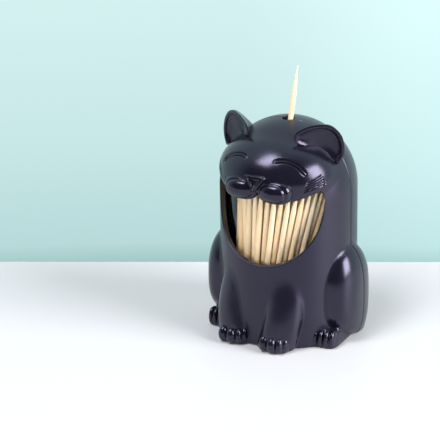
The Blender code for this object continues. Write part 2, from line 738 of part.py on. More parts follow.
def main():
    """Build the whole dispenser."""
    for obj in list(bpy.data.objects):
        bpy.data.objects.remove(obj, do_unlink=True)
    parts = collection("toothpick_dispenser")
    helpers = collection("cutters")
    black = material("black_plastic", (0.012, 0.011, 0.018), 0.32)
    base_black = material("base_black_plastic", (0.015, 0.015, 0.018), 0.5)
    white = material("funnel_plastic", (0.75, 0.75, 0.72), 0.4)
    clear = material("clear_plastic", (0.92, 0.96, 0.97), 0.05, transmission=0.9)
    rubber = material("ring_rubber", (0.03, 0.03, 0.03), 0.7)
    wood = material("toothpick_wood", (0.80, 0.60, 0.36), 0.6)
    shells(parts, helpers, black)
    funnel(parts, white)
    base_cap(parts, helpers, base_black)
    grip_ring(parts, rubber)
    clear_cup(parts, clear)
    toothpicks(parts, helpers, wood)


main()
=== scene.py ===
"""Looks of a toothpick dispenser shaped as a laughing cat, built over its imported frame.

The cat faces -Y and +Z is up. Every length is in metres, in the frame's own axes. A bearing is
counted from the cat's nose towards +X. The shells are grids of rays: each grid point is pushed out
along its ray to the outermost place of a blend of plain forms, so legs, haunches and face run into
the barrel with the small fillets of a moulding.
"""

from __future__ import annotations

import logging
import math
from dataclasses import dataclass, field
from enum import Enum

import bmesh
import bpy
import numpy as np
from mathutils import Matrix, Vector


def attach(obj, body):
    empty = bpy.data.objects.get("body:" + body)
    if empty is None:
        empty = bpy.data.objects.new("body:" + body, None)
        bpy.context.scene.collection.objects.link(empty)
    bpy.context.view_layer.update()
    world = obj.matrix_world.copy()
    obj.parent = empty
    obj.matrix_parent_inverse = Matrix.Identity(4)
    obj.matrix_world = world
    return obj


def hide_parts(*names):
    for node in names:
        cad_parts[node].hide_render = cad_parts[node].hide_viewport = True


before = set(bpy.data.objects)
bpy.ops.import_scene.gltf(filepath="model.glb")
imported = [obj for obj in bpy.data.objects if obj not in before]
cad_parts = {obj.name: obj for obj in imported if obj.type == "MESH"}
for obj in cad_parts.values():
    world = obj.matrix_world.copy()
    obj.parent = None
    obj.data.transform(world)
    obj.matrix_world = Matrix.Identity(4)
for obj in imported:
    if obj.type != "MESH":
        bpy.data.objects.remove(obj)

log = logging.getLogger("toothpick_dispenser")
Array = np.ndarray
Point = tuple[float, float, float]
Socket = bpy.types.NodeSocket

WELD_DISTANCE = 4e-6
TINY = 1e-9
CAMERA_BEARING = 28.491
DOME_CENTRE_Z = 0.0605
UP = np.array([0.0, 0.0, 1.0])
MIRROR = np.array([-1.0, 1.0, 1.0])
PAW_TURN = -4.2
EDGE_STEPS = np.array([0.0, 0.00008, 0.00018, 0.00032, 0.0005, 0.0008, 0.0012])


class Body(Enum):
    """Bodies of the frame that pieces move with."""

    CAT = "cat"
    BASE = "base"
    PICK = "toothpick"


class Slot(Enum):
    """Names of the finishes, one for each kind of piece."""

    BLACK = "black_plastic"
    CLEAR = "clear_plastic"
    WOOD = "toothpick_wood"


# Meshes


def bearing_vectors(bearings: Array) -> Array:
    """Level unit vectors at bearings in radians: (sin, -cos, 0)."""
    return np.stack([np.sin(bearings), -np.cos(bearings), np.zeros_like(bearings)], axis=-1)


def rings(bearings: Array, radii: Array | float, heights: Array) -> Array:
    """Points round the Z axis, from bearings, radii and heights that are broadcast together.

    Args:
        bearings: in radians.
        radii: distances from the axis.
        heights: places along it.

    Returns:
        (..., 3) points.
    """
    bearings, radii, heights = np.broadcast_arrays(bearings, radii, heights)
    points = bearing_vectors(bearings) * radii[..., None]
    points[..., 2] = heights
    return points


def folded(points: Array) -> Array:
    """The same points, brought to the +X side."""
    return np.concatenate([np.abs(points[..., :1]), points[..., 1:]], axis=-1)


def turned(points: Array, degrees: float) -> Array:
    """Points turned about the Z axis, from +X towards +Y."""
    sine, cosine = math.sin(math.radians(degrees)), math.cos(math.radians(degrees))
    return points @ np.array([[cosine, sine, 0.0], [-sine, cosine, 0.0], [0.0, 0.0, 1.0]])


def smooth_min(first: Array, second: Array, blend: float) -> Array:
    """The lesser of two distances, with a round of size blend where they cross."""
    overlap = np.maximum(blend - np.abs(first - second), 0.0) / blend
    return np.minimum(first, second) - overlap**2 * blend / 4


def rounded(distance: Array, radius: float) -> Array:
    """How far an edge falls away at a distance from it, for a quarter round of that radius."""
    inside = np.clip(radius - distance, 0, radius)
    return radius - np.sqrt(np.maximum(radius**2 - inside**2, 0.0))


def spline_through(knots: Array, share: Array) -> Array:
    """Points of a Catmull-Rom curve through knots.

    Args:
        knots: (n, k) places that the curve passes.
        share: places along the curve, from 0 at the first knot to 1 at the last.

    Returns:
        (len(share), k) points.
    """
    knots = np.asarray(knots, float)
    track = np.vstack([2 * knots[0] - knots[1], knots, 2 * knots[-1] - knots[-2]])
    place = np.clip(share, 0, 1) * (len(knots) - 1)
    span = np.minimum(place.astype(int), len(knots) - 2)
    t = (place - span)[:, None]
    a, b, c, d = (track[span + k] for k in range(4))
    return 0.5 * (2 * b + (c - a) * t + (2 * a - 5 * b + 4 * c - d) * t**2 + (3 * b - a - 3 * c + d) * t**3)


def distance_to_track(points: Array, track: Array) -> tuple[Array, Array]:
    """Distance of points from a chain of straight pieces, and how far along it they are.

    Args:
        points: (..., 3) places.
        track: (n, 3) corners of the chain.

    Returns:
        The distances, and shares of the chain from 0 to 1.
    """
    best = np.full(points.shape[:-1], np.inf)
    along = np.zeros(points.shape[:-1])
    for k in range(len(track) - 1):
        start, step = track[k], track[k + 1] - track[k]
        share = np.clip((points - start) @ step / (step @ step), 0, 1)
        away = np.linalg.norm(points - start - share[..., None] * step, axis=-1)
        nearer = away < best
        best = np.where(nearer, away, best)
        along = np.where(nearer, (k + share) / (len(track) - 1), along)
    return best, along


def superellipsoid(
        centre: Point, radii: Point, exponents: tuple[float, float], rows: int, columns: int) -> Array:
    """Grid of a rounded box that stands on the table.

    Cosines and sines of the two angles are raised to 2 / exponent with their signs kept, so 2 gives
    an ellipsoid and more gives a squarer form. What would lie under the table is made flat.

    Args:
        centre: middle of the form.
        radii: half sizes along X, Y and Z.
        exponents: in plan and in elevation.
        rows: points from the lowest pole to the highest.
        columns: points round it.

    Returns:
        (rows, columns, 3) points, for a grid that wraps.
    """
    def power(value: Array, exponent: float) -> Array:
        """Raise a cosine or sine with its sign kept."""
        return np.sign(value) * np.abs(value) ** (2 / exponent)

    tilt = np.linspace(-np.pi / 2, np.pi / 2, rows)[:, None]
    turn = np.linspace(0, 2 * np.pi, columns, endpoint=False)[None, :]
    ring = power(np.cos(tilt), exponents[1])
    unit = np.stack(np.broadcast_arrays(
        ring * power(np.cos(turn), exponents[0]), ring * power(np.sin(turn), exponents[0]),
        power(np.sin(tilt), exponents[1]) + 0 * turn), axis=-1)
    grid = np.array(centre) + unit * np.array(radii)
    grid[..., 2] = np.maximum(grid[..., 2], 0.0)
    return grid


def lathe(profile: Array, steps: int) -> Array:
    """Grid of a profile carried once round the Z axis.

    Args:
        profile: (radius, height) corners.
        steps: points round the axis.

    Returns:
        (corners, steps, 3) points, for a grid that wraps.
    """
    turn = np.linspace(0, 2 * np.pi, steps, endpoint=False)
    profile = np.asarray(profile, float)
    return np.stack([
        profile[:, :1] * np.cos(turn), profile[:, :1] * np.sin(turn),
        np.broadcast_to(profile[:, 1:], (len(profile), steps))], axis=-1)


@dataclass
class Sheets:
    """Grids of points gathered into one mesh, with values kept for the material."""

    points: list[Array] = field(default_factory=list)
    values: list[Array] = field(default_factory=list)
    faces: list[Array] = field(default_factory=list)
    outlines: list[list[int]] = field(default_factory=list)
    count: int = 0

    def add_grid(
            self, grid: Array, keep: Array | None = None, wrap: bool = False,
            value: Array | float = 0.0) -> Array:
        """Add a grid of points and the quads between them.

        Args:
            grid: (rows, columns, 3) points.
            keep: (rows - 1, columns) or (rows - 1, columns - 1) truth of which quads are made.
            wrap: whether the last column joins the first.
            value: a number for each point that the material reads.

        Returns:
            (rows, columns) vertex numbers.
        """
        rows, columns = grid.shape[:2]
        index = self.count + np.arange(rows * columns).reshape(rows, columns)
        right = np.roll(index, -1, axis=1) if wrap else index[:, 1:]
        left = index if wrap else index[:, :-1]
        quads = np.stack([left[:-1], right[:-1], right[1:], left[1:]], axis=-1)
        if keep is not None:
            quads = quads[keep]
        self.points.append(grid.reshape(-1, 3))
        self.values.append(np.broadcast_to(value, (rows, columns)).reshape(-1).astype(float))
        self.faces.append(quads.reshape(-1, 4))
        self.count += rows * columns
        return index

    def build(self, name: str, crease: float) -> bpy.types.Object:
        """Weld the grids into a mesh whose faces point outwards.

        Args:
            name: the piece's name.
            crease: angle in degrees past which an edge stays sharp.

        Returns:
            The new object, linked to the scene.
        """
        mesh = bpy.data.meshes.new(name)
        faces = [face for part in self.faces for face in part.tolist()] + self.outlines
        mesh.from_pydata(np.concatenate(self.points).tolist(), [], faces)
        attribute = mesh.attributes.new("finish", "FLOAT", "POINT")
        attribute.data.foreach_set("value", np.concatenate(self.values).astype(np.float32))
        shape = bmesh.new()
        shape.from_mesh(mesh)
        bmesh.ops.remove_doubles(shape, verts=shape.verts, dist=WELD_DISTANCE)
        bmesh.ops.dissolve_degenerate(shape, edges=shape.edges, dist=WELD_DISTANCE / 4)
        bmesh.ops.recalc_face_normals(shape, faces=shape.faces)
        shape.to_mesh(mesh)
        shape.free()
        mesh.shade_smooth()
        mesh.set_sharp_from_angle(angle=math.radians(crease))
        made = bpy.data.objects.new(name, mesh)
        bpy.context.scene.collection.objects.link(made)
        return made


# Materials


class NodeTree:
    """Short calls for the nodes of a material or a world."""

    def __init__(self, owner: bpy.types.Material | bpy.types.World, shader: str = "Principled BSDF") -> None:
        """Work on the owner's nodes.

        Args:
            owner: the material or world.
            shader: name of the node that it starts with.
        """
        owner.use_nodes = True
        self.tree = owner.node_tree
        self.shader = self.tree.nodes[shader]

    def put(self, socket: Socket, value: object) -> None:
        """Join an input to an output, or set its value. A colour gets its alpha here.

        Args:
            socket: the input.
            value: another node's output, or a value.
        """
        if isinstance(value, bpy.types.NodeSocket):
            self.tree.links.new(value, socket)
        else:
            socket.default_value = (*value, 1.0) if socket.type == "RGBA" else value

    def node(self, kind: str, inputs: dict[str | int, object], **fields: object) -> bpy.types.Node:
        """Add a node.

        Args:
            kind: its type.
            inputs: a value or another node's output for each input.
            fields: what its other fields hold.

        Returns:
            The new node.
        """
        made = self.tree.nodes.new(kind)
        for key, value in fields.items():
            setattr(made, key, value)
        for key, value in inputs.items():
            self.put(made.inputs[key], value)
        return made

    def shade(self, inputs: dict[str, object]) -> None:
        """Set or join the shader's inputs by name."""
        for name, value in inputs.items():
            self.put(self.shader.inputs[name], value)

    def noise(self, scale: float, detail: float = 2.0, stretch: Point = (1.0, 1.0, 1.0)) -> Socket:
        """Noise on object coordinates.

        Args:
            scale: how fine it is.
            detail: how many finer layers it has.
            stretch: its density along each axis.

        Returns:
            A share from 0 to 1.
        """
        place = self.node("ShaderNodeTexCoord", {}).outputs["Object"]
        place = self.node("ShaderNodeMapping", {"Scale": stretch, "Vector": place}).outputs["Vector"]
        inputs = {"Scale": scale, "Detail": detail, "Vector": place}
        return self.node("ShaderNodeTexNoise", inputs).outputs["Fac"]

    def map_range(self, value: Socket, low: float, high: float, start: float = 0.0, end: float = 1.0,
                  kind: str = "LINEAR") -> Socket:
        """Carry a value from start..end to low..high."""
        inputs = {"Value": value, "From Min": start, "From Max": end, "To Min": low, "To Max": high}
        return self.node("ShaderNodeMapRange", inputs, interpolation_type=kind).outputs["Result"]

    def maths(self, operation: str, first: Socket, second: Socket) -> Socket:
        """Sum, greater value or the like of two."""
        return self.node("ShaderNodeMath", {0: first, 1: second}, operation=operation).outputs[0]

    def dot(self, first: Socket, second: Point) -> Socket:
        """How far one vector goes along another."""
        made = self.node("ShaderNodeVectorMath", {0: first, 1: second}, operation="DOT_PRODUCT")
        return made.outputs["Value"]

    def mix(self, share: Socket, first: Point | Socket, second: Point | Socket) -> Socket:
        """Colour between two, by a share."""
        inputs = {"A": first, "B": second, "Factor": share}
        return self.node("ShaderNodeMix", inputs, data_type="RGBA").outputs["Result"]

    def bump(self, height: Socket, depth: float, strength: float = 1.0) -> Socket:
        """Normal of a surface roughed by a height."""
        inputs = {"Distance": depth, "Strength": strength, "Height": height}
        return self.node("ShaderNodeBump", inputs).outputs["Normal"]


@dataclass(frozen=True)
class Finish:
    """A material worked out by nodes."""

    name: str

    def material(self) -> bpy.types.Material:
        """Make the material.

        Returns:
            The material, painted by the finish's own nodes.
        """
        made = bpy.data.materials.new(self.name)
        self.paint(NodeTree(made))
        return made

    def paint(self, tree: NodeTree) -> None:
        """Set the shader's inputs."""
        raise NotImplementedError


@dataclass(frozen=True)
class BlackPlastic(Finish):
    """Moulded black plastic: a satin spark grain on the barrel, and smoother limbs and face.

    The mesh's finish value runs from 0 for satin to 1 for polished.
    """

    name: str = "black_plastic_satin"
    dark: Point = (0.0040, 0.0040, 0.0090)
    light: Point = (0.0075, 0.0068, 0.0130)
    sheen_tint: Point = (0.76, 0.72, 1.0)
    satin_roughness: float = 0.33
    polished_roughness: float = 0.15
    clouds: float = 120.0
    cloud_depth: float = 0.03
    mottle: float = 90.0
    grain_size: float = 0.00024
    grain_depth: float = 0.000012
    ior: float = 1.56

    def paint(self, tree: NodeTree) -> None:
        """Mottle the colour, cloud the roughness and rough the surface.

        Args:
            tree: the material's nodes.
        """
        finish = tree.node("ShaderNodeAttribute", {}, attribute_name="finish").outputs["Fac"]
        base = tree.map_range(finish, self.satin_roughness, self.polished_roughness)
        cloud = tree.map_range(tree.noise(self.clouds, 3.0), -self.cloud_depth, self.cloud_depth, 0.3, 0.7)
        tree.shade({
            "Roughness": tree.maths("ADD", base, cloud), "IOR": self.ior, "Specular Tint": self.sheen_tint,
            "Base Color": tree.mix(tree.noise(self.mottle, 4.0), self.dark, self.light),
            "Normal": tree.bump(tree.noise(1.0 / self.grain_size, 1.0), self.grain_depth)})


@dataclass(frozen=True)
class MattePlastic(Finish):
    """Plain moulded plastic of one colour with a fine grain."""

    colour: Point
    shade: Point
    roughness: float
    roughness_spread: float = 0.06
    mottle: float = 60.0
    clouds: float = 150.0
    grain_size: float = 0.0003
    grain_depth: float = 0.000008

    def paint(self, tree: NodeTree) -> None:
        """Mottle the colour and the roughness, and rough the surface.

        Args:
            tree: the material's nodes.
        """
        low, high = self.roughness - self.roughness_spread, self.roughness + self.roughness_spread
        tree.shade({
            "Base Color": tree.mix(tree.noise(self.mottle, 4.0), self.shade, self.colour),
            "Roughness": tree.map_range(tree.noise(self.clouds), low, high),
            "Normal": tree.bump(tree.noise(1.0 / self.grain_size), self.grain_depth)})


@dataclass(frozen=True)
class ClearPlastic(Finish):
    """Clear moulded wall that bends light, and lets the lamps reach what it holds."""

    name: str = "clear_plastic_wall"
    tint: Point = (0.97, 0.985, 0.99)
    clear: Point = (1.0, 1.0, 1.0)
    roughness: tuple[float, float] = (0.015, 0.05)
    streaks: Point = (1.0, 1.0, 0.08)
    ior: float = 1.38

    def paint(self, tree: NodeTree) -> None:
        """Clear plastic with faint rubbing, and a clear film for lamp and bounced rays.

        Args:
            tree: the material's nodes.
        """
        tree.shade({
            "Transmission Weight": 1.0, "IOR": self.ior,
            "Base Color": tree.mix(tree.noise(40.0), self.tint, self.clear),
            "Roughness": tree.map_range(tree.noise(600.0, 3.0, self.streaks), *self.roughness, 0.4, 0.8)})
        film = tree.node("ShaderNodeBsdfTransparent", {"Color": self.tint}).outputs[0]
        rays = tree.node("ShaderNodeLightPath", {}).outputs
        lets_by = tree.maths("MAXIMUM", rays["Is Shadow Ray"], rays["Is Diffuse Ray"])
        wall = tree.node("ShaderNodeMixShader", {0: lets_by, 1: tree.shader.outputs[0], 2: film}).outputs[0]
        tree.put(tree.tree.nodes["Material Output"].inputs["Surface"], wall)


@dataclass(frozen=True)
class BirchWood(Finish):
    """Pale turned wood. The piece's own map runs round it and along it, and tone tells picks apart."""

    name: str = "toothpick_birch"
    pale: Point = (0.97, 0.78, 0.52)
    warm: Point = (0.89, 0.62, 0.32)
    fibre: Point = (0.62, 0.34, 0.13)
    fibre_density: Point = (7.0, 1.1, 1.0)
    roughness: tuple[float, float] = (0.47, 0.65)
    fibre_depth: float = 0.00003

    def paint(self, tree: NodeTree) -> None:
        """Long fibres along the pick, over a shade of its own for each pick.

        Args:
            tree: the material's nodes.
        """
        tone = tree.node("ShaderNodeAttribute", {}, attribute_name="finish").outputs["Fac"]
        place = tree.node("ShaderNodeUVMap", {}, uv_map="grain").outputs["UV"]
        place = tree.node("ShaderNodeMapping", {"Scale": self.fibre_density, "Vector": place})
        inputs = {"Scale": 3.0, "Detail": 5.0, "Roughness": 0.65, "Vector": place.outputs["Vector"]}
        fibres = tree.node("ShaderNodeTexNoise", inputs).outputs["Fac"]
        share = tree.map_range(fibres, 0.0, 0.55, 0.50, 0.78)
        tree.shade({
            "Base Color": tree.mix(share, tree.mix(tone, self.pale, self.warm), self.fibre),
            "Roughness": tree.map_range(fibres, *self.roughness),
            "Normal": tree.bump(fibres, self.fibre_depth, 0.7)})


def dress(piece: bpy.types.Object, material: bpy.types.Material) -> None:
    """Give a piece one material in every slot.

    Args:
        piece: the piece.
        material: its finish.
    """
    if not piece.data.materials:
        piece.data.materials.append(material)
    for slot in piece.material_slots:
        slot.material = material


def finish_piece(
        piece: bpy.types.Object, body: Body, material: bpy.types.Material, slot: Slot, *nodes: str) -> None:
    """Dress a piece, fix it to its body and say which nodes it stands for.

    Args:
        piece: the finished piece.
        body: the body that it moves with.
        material: its finish.
        slot: the name of that finish; not used.
        nodes: the nodes that it replaces.
    """
    dress(piece, material)
    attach(piece, body.value)
    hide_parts(*nodes)
    log.info("%s: %d faces, for %s", piece.name, len(piece.data.polygons), ", ".join(nodes))


# Forms


@dataclass(frozen=True)
class Form:
    """A plain solid that can tell how far a point is from its surface."""

    def distance(self, points: Array) -> Array:
        """Distance from the surface, less than zero inside."""
        raise NotImplementedError


@dataclass(frozen=True)
class Barrel(Form):
    """Upright cylinder under a half sphere."""

    radius: float = 0.0275

    def distance(self, points: Array) -> Array:
        """Distance from the axis, or from the dome's centre above it, less the radius."""
        rise = np.maximum(points[..., 2] - DOME_CENTRE_Z, 0.0)
        return np.sqrt(points[..., 0] ** 2 + points[..., 1] ** 2 + rise**2) - self.radius


@dataclass(frozen=True)
class Egg(Form):
    """Rounded box or ellipsoid, by one exponent in plan and one in elevation."""

    centre: Point
    radii: Point
    plan: float = 2.0
    rise: float = 2.0

    def distance(self, points: Array) -> Array:
        """Its level f - 1 over the length of f's gradient.

        f raises the plan's |x|, |y| to plan and that sum's root and |z| to rise.

        Args:
            points: (..., 3) places.

        Returns:
            (...) distances, less than zero inside.
        """
        unit = np.abs((points - np.array(self.centre)) / np.array(self.radii)) + TINY
        flat = unit[..., 0] ** self.plan + unit[..., 1] ** self.plan
        ring = flat ** (1 / self.plan)
        level = (ring**self.rise + unit[..., 2] ** self.rise) ** (1 / self.rise)
        outer = level ** (1 - self.rise)
        across = outer * ring ** (self.rise - 1) * ring ** (1 - self.plan)
        slope = np.sqrt(
            (across * unit[..., 0] ** (self.plan - 1) / self.radii[0]) ** 2
            + (across * unit[..., 1] ** (self.plan - 1) / self.radii[1]) ** 2
            + (outer * unit[..., 2] ** (self.rise - 1) / self.radii[2]) ** 2)
        return (level - 1) / slope


@dataclass(frozen=True)
class Haunch(Form):
    """Rounded over its widest level, and tapering gently from there to the table."""

    centre: Point = (0.0241, -0.0010, 0.0195)
    radii: Point = (0.0093, 0.0139, 0.0197)
    exponent: float = 2.35
    crown: float = 2.35
    foot_width: float = 0.68
    foot_length: float = 0.44
    foot_back: float = 0.0052
    narrowing: float = 3.2

    def distance(self, points: Array) -> Array:
        """Level of the section over its slope.

        The section at a height is |x|^e + |y|^e = 1 over its two half sizes. Above the widest level it
        closes as (1 - rise^c)^(1/c), and under it both sizes fall by a power of the depth.

        Args:
            points: (..., 3) places on the +X side.

        Returns:
            (...) distances, less than zero inside.
        """
        rise = np.clip((points[..., 2] - self.centre[2]) / self.radii[2], TINY, None)
        shrink = np.clip(1 - points[..., 2] / self.centre[2], 0, 1) ** self.narrowing
        wide = self.radii[0] * (1 - (1 - self.foot_width) * shrink)
        deep = self.radii[1] * (1 - (1 - self.foot_length) * shrink)
        x = np.abs(points[..., 0] - self.centre[0]) / wide + TINY
        y = np.abs(points[..., 1] - self.centre[1] - self.foot_back * shrink) / deep + TINY
        e, c = self.exponent, self.crown
        ring = (x**e + y**e) ** (1 / e)
        level = (ring**c + rise**c) ** (1 / c)
        across = (ring / level) ** (c - 1) * ring ** (1 - e)
        slope = np.sqrt(
            (across * x ** (e - 1) / wide) ** 2 + (across * y ** (e - 1) / deep) ** 2
            + ((rise / level) ** (c - 1) / self.radii[2]) ** 2)
        return (level - 1) / slope


@dataclass(frozen=True)
class FrontLeg(Form):
    """Column that comes out of the barrel under a round arch and leans forwards to the paw."""

    heights: tuple[float, ...] = (0.0, 0.0060, 0.0120, 0.0190, 0.0300, 0.0340)
    bearings: tuple[float, ...] = (20.5, 24.0, 26.95, 28.85, 28.85, 28.85)
    reaches: tuple[float, ...] = (0.0316, 0.0323, 0.0316, 0.0301, 0.0273, 0.0262)
    half_width: float = 0.0077
    half_depth: float = 0.0056
    steps: int = 69
    easing: int = 5

    def eased(self, line: tuple[float, ...], place: Array) -> Array:
        """Values of a line at heights, with its corners eased.

        The line is read at even steps, and each is the mean of itself and its neighbours.

        Args:
            line: values at the leg's named heights.
            place: heights to read it at.

        Returns:
            A value for each height.
        """
        fine = np.linspace(0.0, self.heights[-1], self.steps)
        near = 2 * self.easing + 1
        padded = np.pad(np.interp(fine, self.heights, line), self.easing, mode="reflect", reflect_type="odd")
        return np.interp(place, fine, np.convolve(padded, np.ones(near) / near, mode="valid"))

    def distance(self, points: Array) -> Array:
        """Distance from an ellipse that faces away from the barrel's axis, at the bearing of its height.

        Args:
            points: (..., 3) places on the +X side.

        Returns:
            (...) distances, less than zero inside.
        """
        x, y, z = points[..., 0], points[..., 1], points[..., 2]
        turn = np.radians(self.eased(self.bearings, z))
        across = (x * np.cos(turn) + y * np.sin(turn)) / self.half_width
        out = x * np.sin(turn) - y * np.cos(turn)
        deep = (out - self.eased(self.reaches, z) + self.half_depth) / self.half_depth
        level = np.hypot(across, deep) + TINY
        slope = np.hypot(across / self.half_width, deep / self.half_depth) / level + TINY
        return (level - 1) / slope


@dataclass(frozen=True)
class Tail(Form):
    """Round bar that lies against the back and climbs as it goes round."""

    radius: float = 0.0032
    tip_radius: float = 0.0022
    ring: float = 0.0275
    bearings: tuple[float, float] = (120.0, 208.0)
    heights: tuple[float, float] = (0.0040, 0.0400)
    points: int = 28

    def track(self) -> Array:
        """Middle line: its bearing eases by a sine and its height by a square.

        Returns:
            (points, 3) places along it.
        """
        share = np.linspace(0, 1, self.points)
        bearing = self.bearings[0] + (self.bearings[1] - self.bearings[0]) * np.sin(np.pi / 2 * share)
        height = self.heights[0] + (self.heights[1] - self.heights[0]) * share**2
        return rings(np.radians(bearing), self.ring, height)

    def distance(self, points: Array) -> Array:
        """Distance from the middle line less the radius there."""
        away, along = distance_to_track(points, self.track())
        return away - (self.radius + (self.tip_radius - self.radius) * along)


@dataclass(frozen=True)
class Engraving:
    """Fine groove along a curve on the face, or a pair of them with a ridge between."""

    knots: tuple[Point | Array, ...]
    depth: float
    half_width: float
    pair_gap: float = 0.0
    steps: int = 6
    end_share: float = 0.12
    end_power: float = 0.7
    end_depth: float = 0.25

    def track(self) -> Array:
        """Points along the curve."""
        return spline_through(np.array(self.knots), np.linspace(0, 1, self.steps * (len(self.knots) - 1) + 1))

    def depth_at(self, points: Array, track: Array) -> Array:
        """Depth of the cut: a bell of the distance from the line, or from a pair of lines beside it.

        Args:
            points: (..., 3) places.
            track: (n, 3) points along the curve.

        Returns:
            (...) depths, which fall towards both ends of the curve.
        """
        away, along = distance_to_track(points, track)
        ends = np.clip(np.minimum(along, 1 - along) / self.end_share, 0.0, 1.0) ** self.end_power
        bell = np.exp(-(((away - self.pair_gap / 2) / self.half_width) ** 2))
        return self.depth * bell * (self.end_depth + (1 - self.end_depth) * ends)


# Shells


@dataclass(frozen=True)
class Cavity:
    """Room inside the shells, in front of and behind the seam."""

    radius: float = 0.0252
    hole_radius: float = 0.0024
    hole_height: float = 0.0020
    boss_radius: float = 0.0072
    boss_bottom: float = 0.0812
    bore_radius: float = 0.0037
    groove_radius: float = 0.0055
    groove: tuple[float, float] = (0.0824, 0.0842)
    rows: int = 12

    def radius_at(self, height: Array) -> Array:
        """Radius of the room at a height."""
        rise = np.maximum(height - DOME_CENTRE_Z, 0.0)
        return np.sqrt(np.maximum(self.radius**2 - rise**2, TINY))

    def behind(self, edge: Array) -> Array:
        """Bearings at which the room's wall lies straight behind an edge's points."""
        return np.arcsin(np.clip(edge[:, 0] / self.radius_at(edge[:, 2]), -1, 1))

    def dome(self, bearing: Array, rise: Array) -> Array:
        """Points of the room's dome at bearings and rises in radians."""
        return rings(bearing, np.cos(rise) * self.radius, DOME_CENTRE_Z + np.sin(rise) * self.radius)

    def throat(self, bearing: Array) -> Array:
        """Grid of the throat under the crown.

        Args:
            bearing: its columns, in radians.

        Returns:
            Rows from the boss's foot, over the funnel's groove and up the hole.
        """
        low, high = self.groove
        corners = np.array([
            (self.boss_radius, self.boss_bottom), (self.bore_radius, self.boss_bottom),
            (self.bore_radius, low), (self.groove_radius, low), (self.groove_radius, high),
            (self.hole_radius, high), (self.hole_radius, high + self.hole_height)])
        return rings(bearing, corners[:, :1], corners[:, 1:])


@dataclass(frozen=True)
class Mouth:
    """Opening in the front shell: a half ellipse hung under the upper lip, in bearing and height.

    The lip's bearings are in degrees and its heights in millimetres.
    """

    half_bearing: float = 57.3
    centre_z: float = 0.0620
    bottom_z: float = 0.0350
    lip_bearings: tuple[float, ...] = (0.0, 8.0, 14.0, 20.0, 26.0, 32.0, 40.0, 47.0, 53.0, 55.6, 57.3)
    lip_heights: tuple[float, ...] = (66.4, 65.4, 64.0, 63.0, 62.6, 63.0, 64.2, 65.4, 66.0, 65.3, 62.0)
    softening: tuple[float, ...] = (-2.0, -1.0, 0.0, 1.0, 2.0)
    soft_end: float = 53.0
    corner_bearing: float = 52.0
    corner_z: float = 0.0660
    corner_slack: float = 0.001

    def lower(self, bearing: Array) -> Array:
        """Height of the lower edge."""
        share = np.clip(1 - (np.abs(bearing) / math.radians(self.half_bearing)) ** 2, 0, None)
        return self.centre_z - (self.centre_z - self.bottom_z) * np.sqrt(share)

    def upper(self, bearing: Array) -> Array:
        """Height of the upper lip, through its named heights, with a round corner.

        Each height is the mean of a few near by. Past the corner's bearing the lip comes down as a
        quarter ellipse.

        Args:
            bearing: in radians.

        Returns:
            A height for each bearing.
        """
        lip = np.degrees(np.abs(bearing))
        knots, heights = np.array(self.lip_bearings), np.array(self.lip_heights) * 1e-3
        near = [np.interp(np.clip(lip + shift, 0, self.soft_end), knots, heights) for shift in self.softening]
        past = (lip - self.corner_bearing) / (self.half_bearing - self.corner_bearing)
        corner = self.centre_z + (self.corner_z - self.centre_z) * np.sqrt(np.clip(1 - past**2, 0, 1))
        corner = np.minimum(np.interp(lip, knots, heights) + self.corner_slack, corner)
        made = np.where(lip < self.corner_bearing, sum(near) / len(near), corner)
        return np.where(lip >= self.half_bearing, self.centre_z, made)


def spread_rows(low: Array, high: Array, low_steps: Array, high_steps: Array, weight: Array) -> Array:
    """Rows between two edges, close together at both.

    Args:
        low: lower edge for each column.
        high: upper edge for each column.
        low_steps: distances of the close rows from the lower edge.
        high_steps: the same from the upper edge.
        weight: rising shares of the open stretch, from 0 to 1, one for each row between.

    Returns:
        (rows, columns) places.
    """
    start, stop = low + low_steps[-1], high - high_steps[-1]
    middle = start + (stop - start) * weight[:, None]
    return np.concatenate([low + low_steps[:-1, None], middle, high - high_steps[::-1][1:, None]])


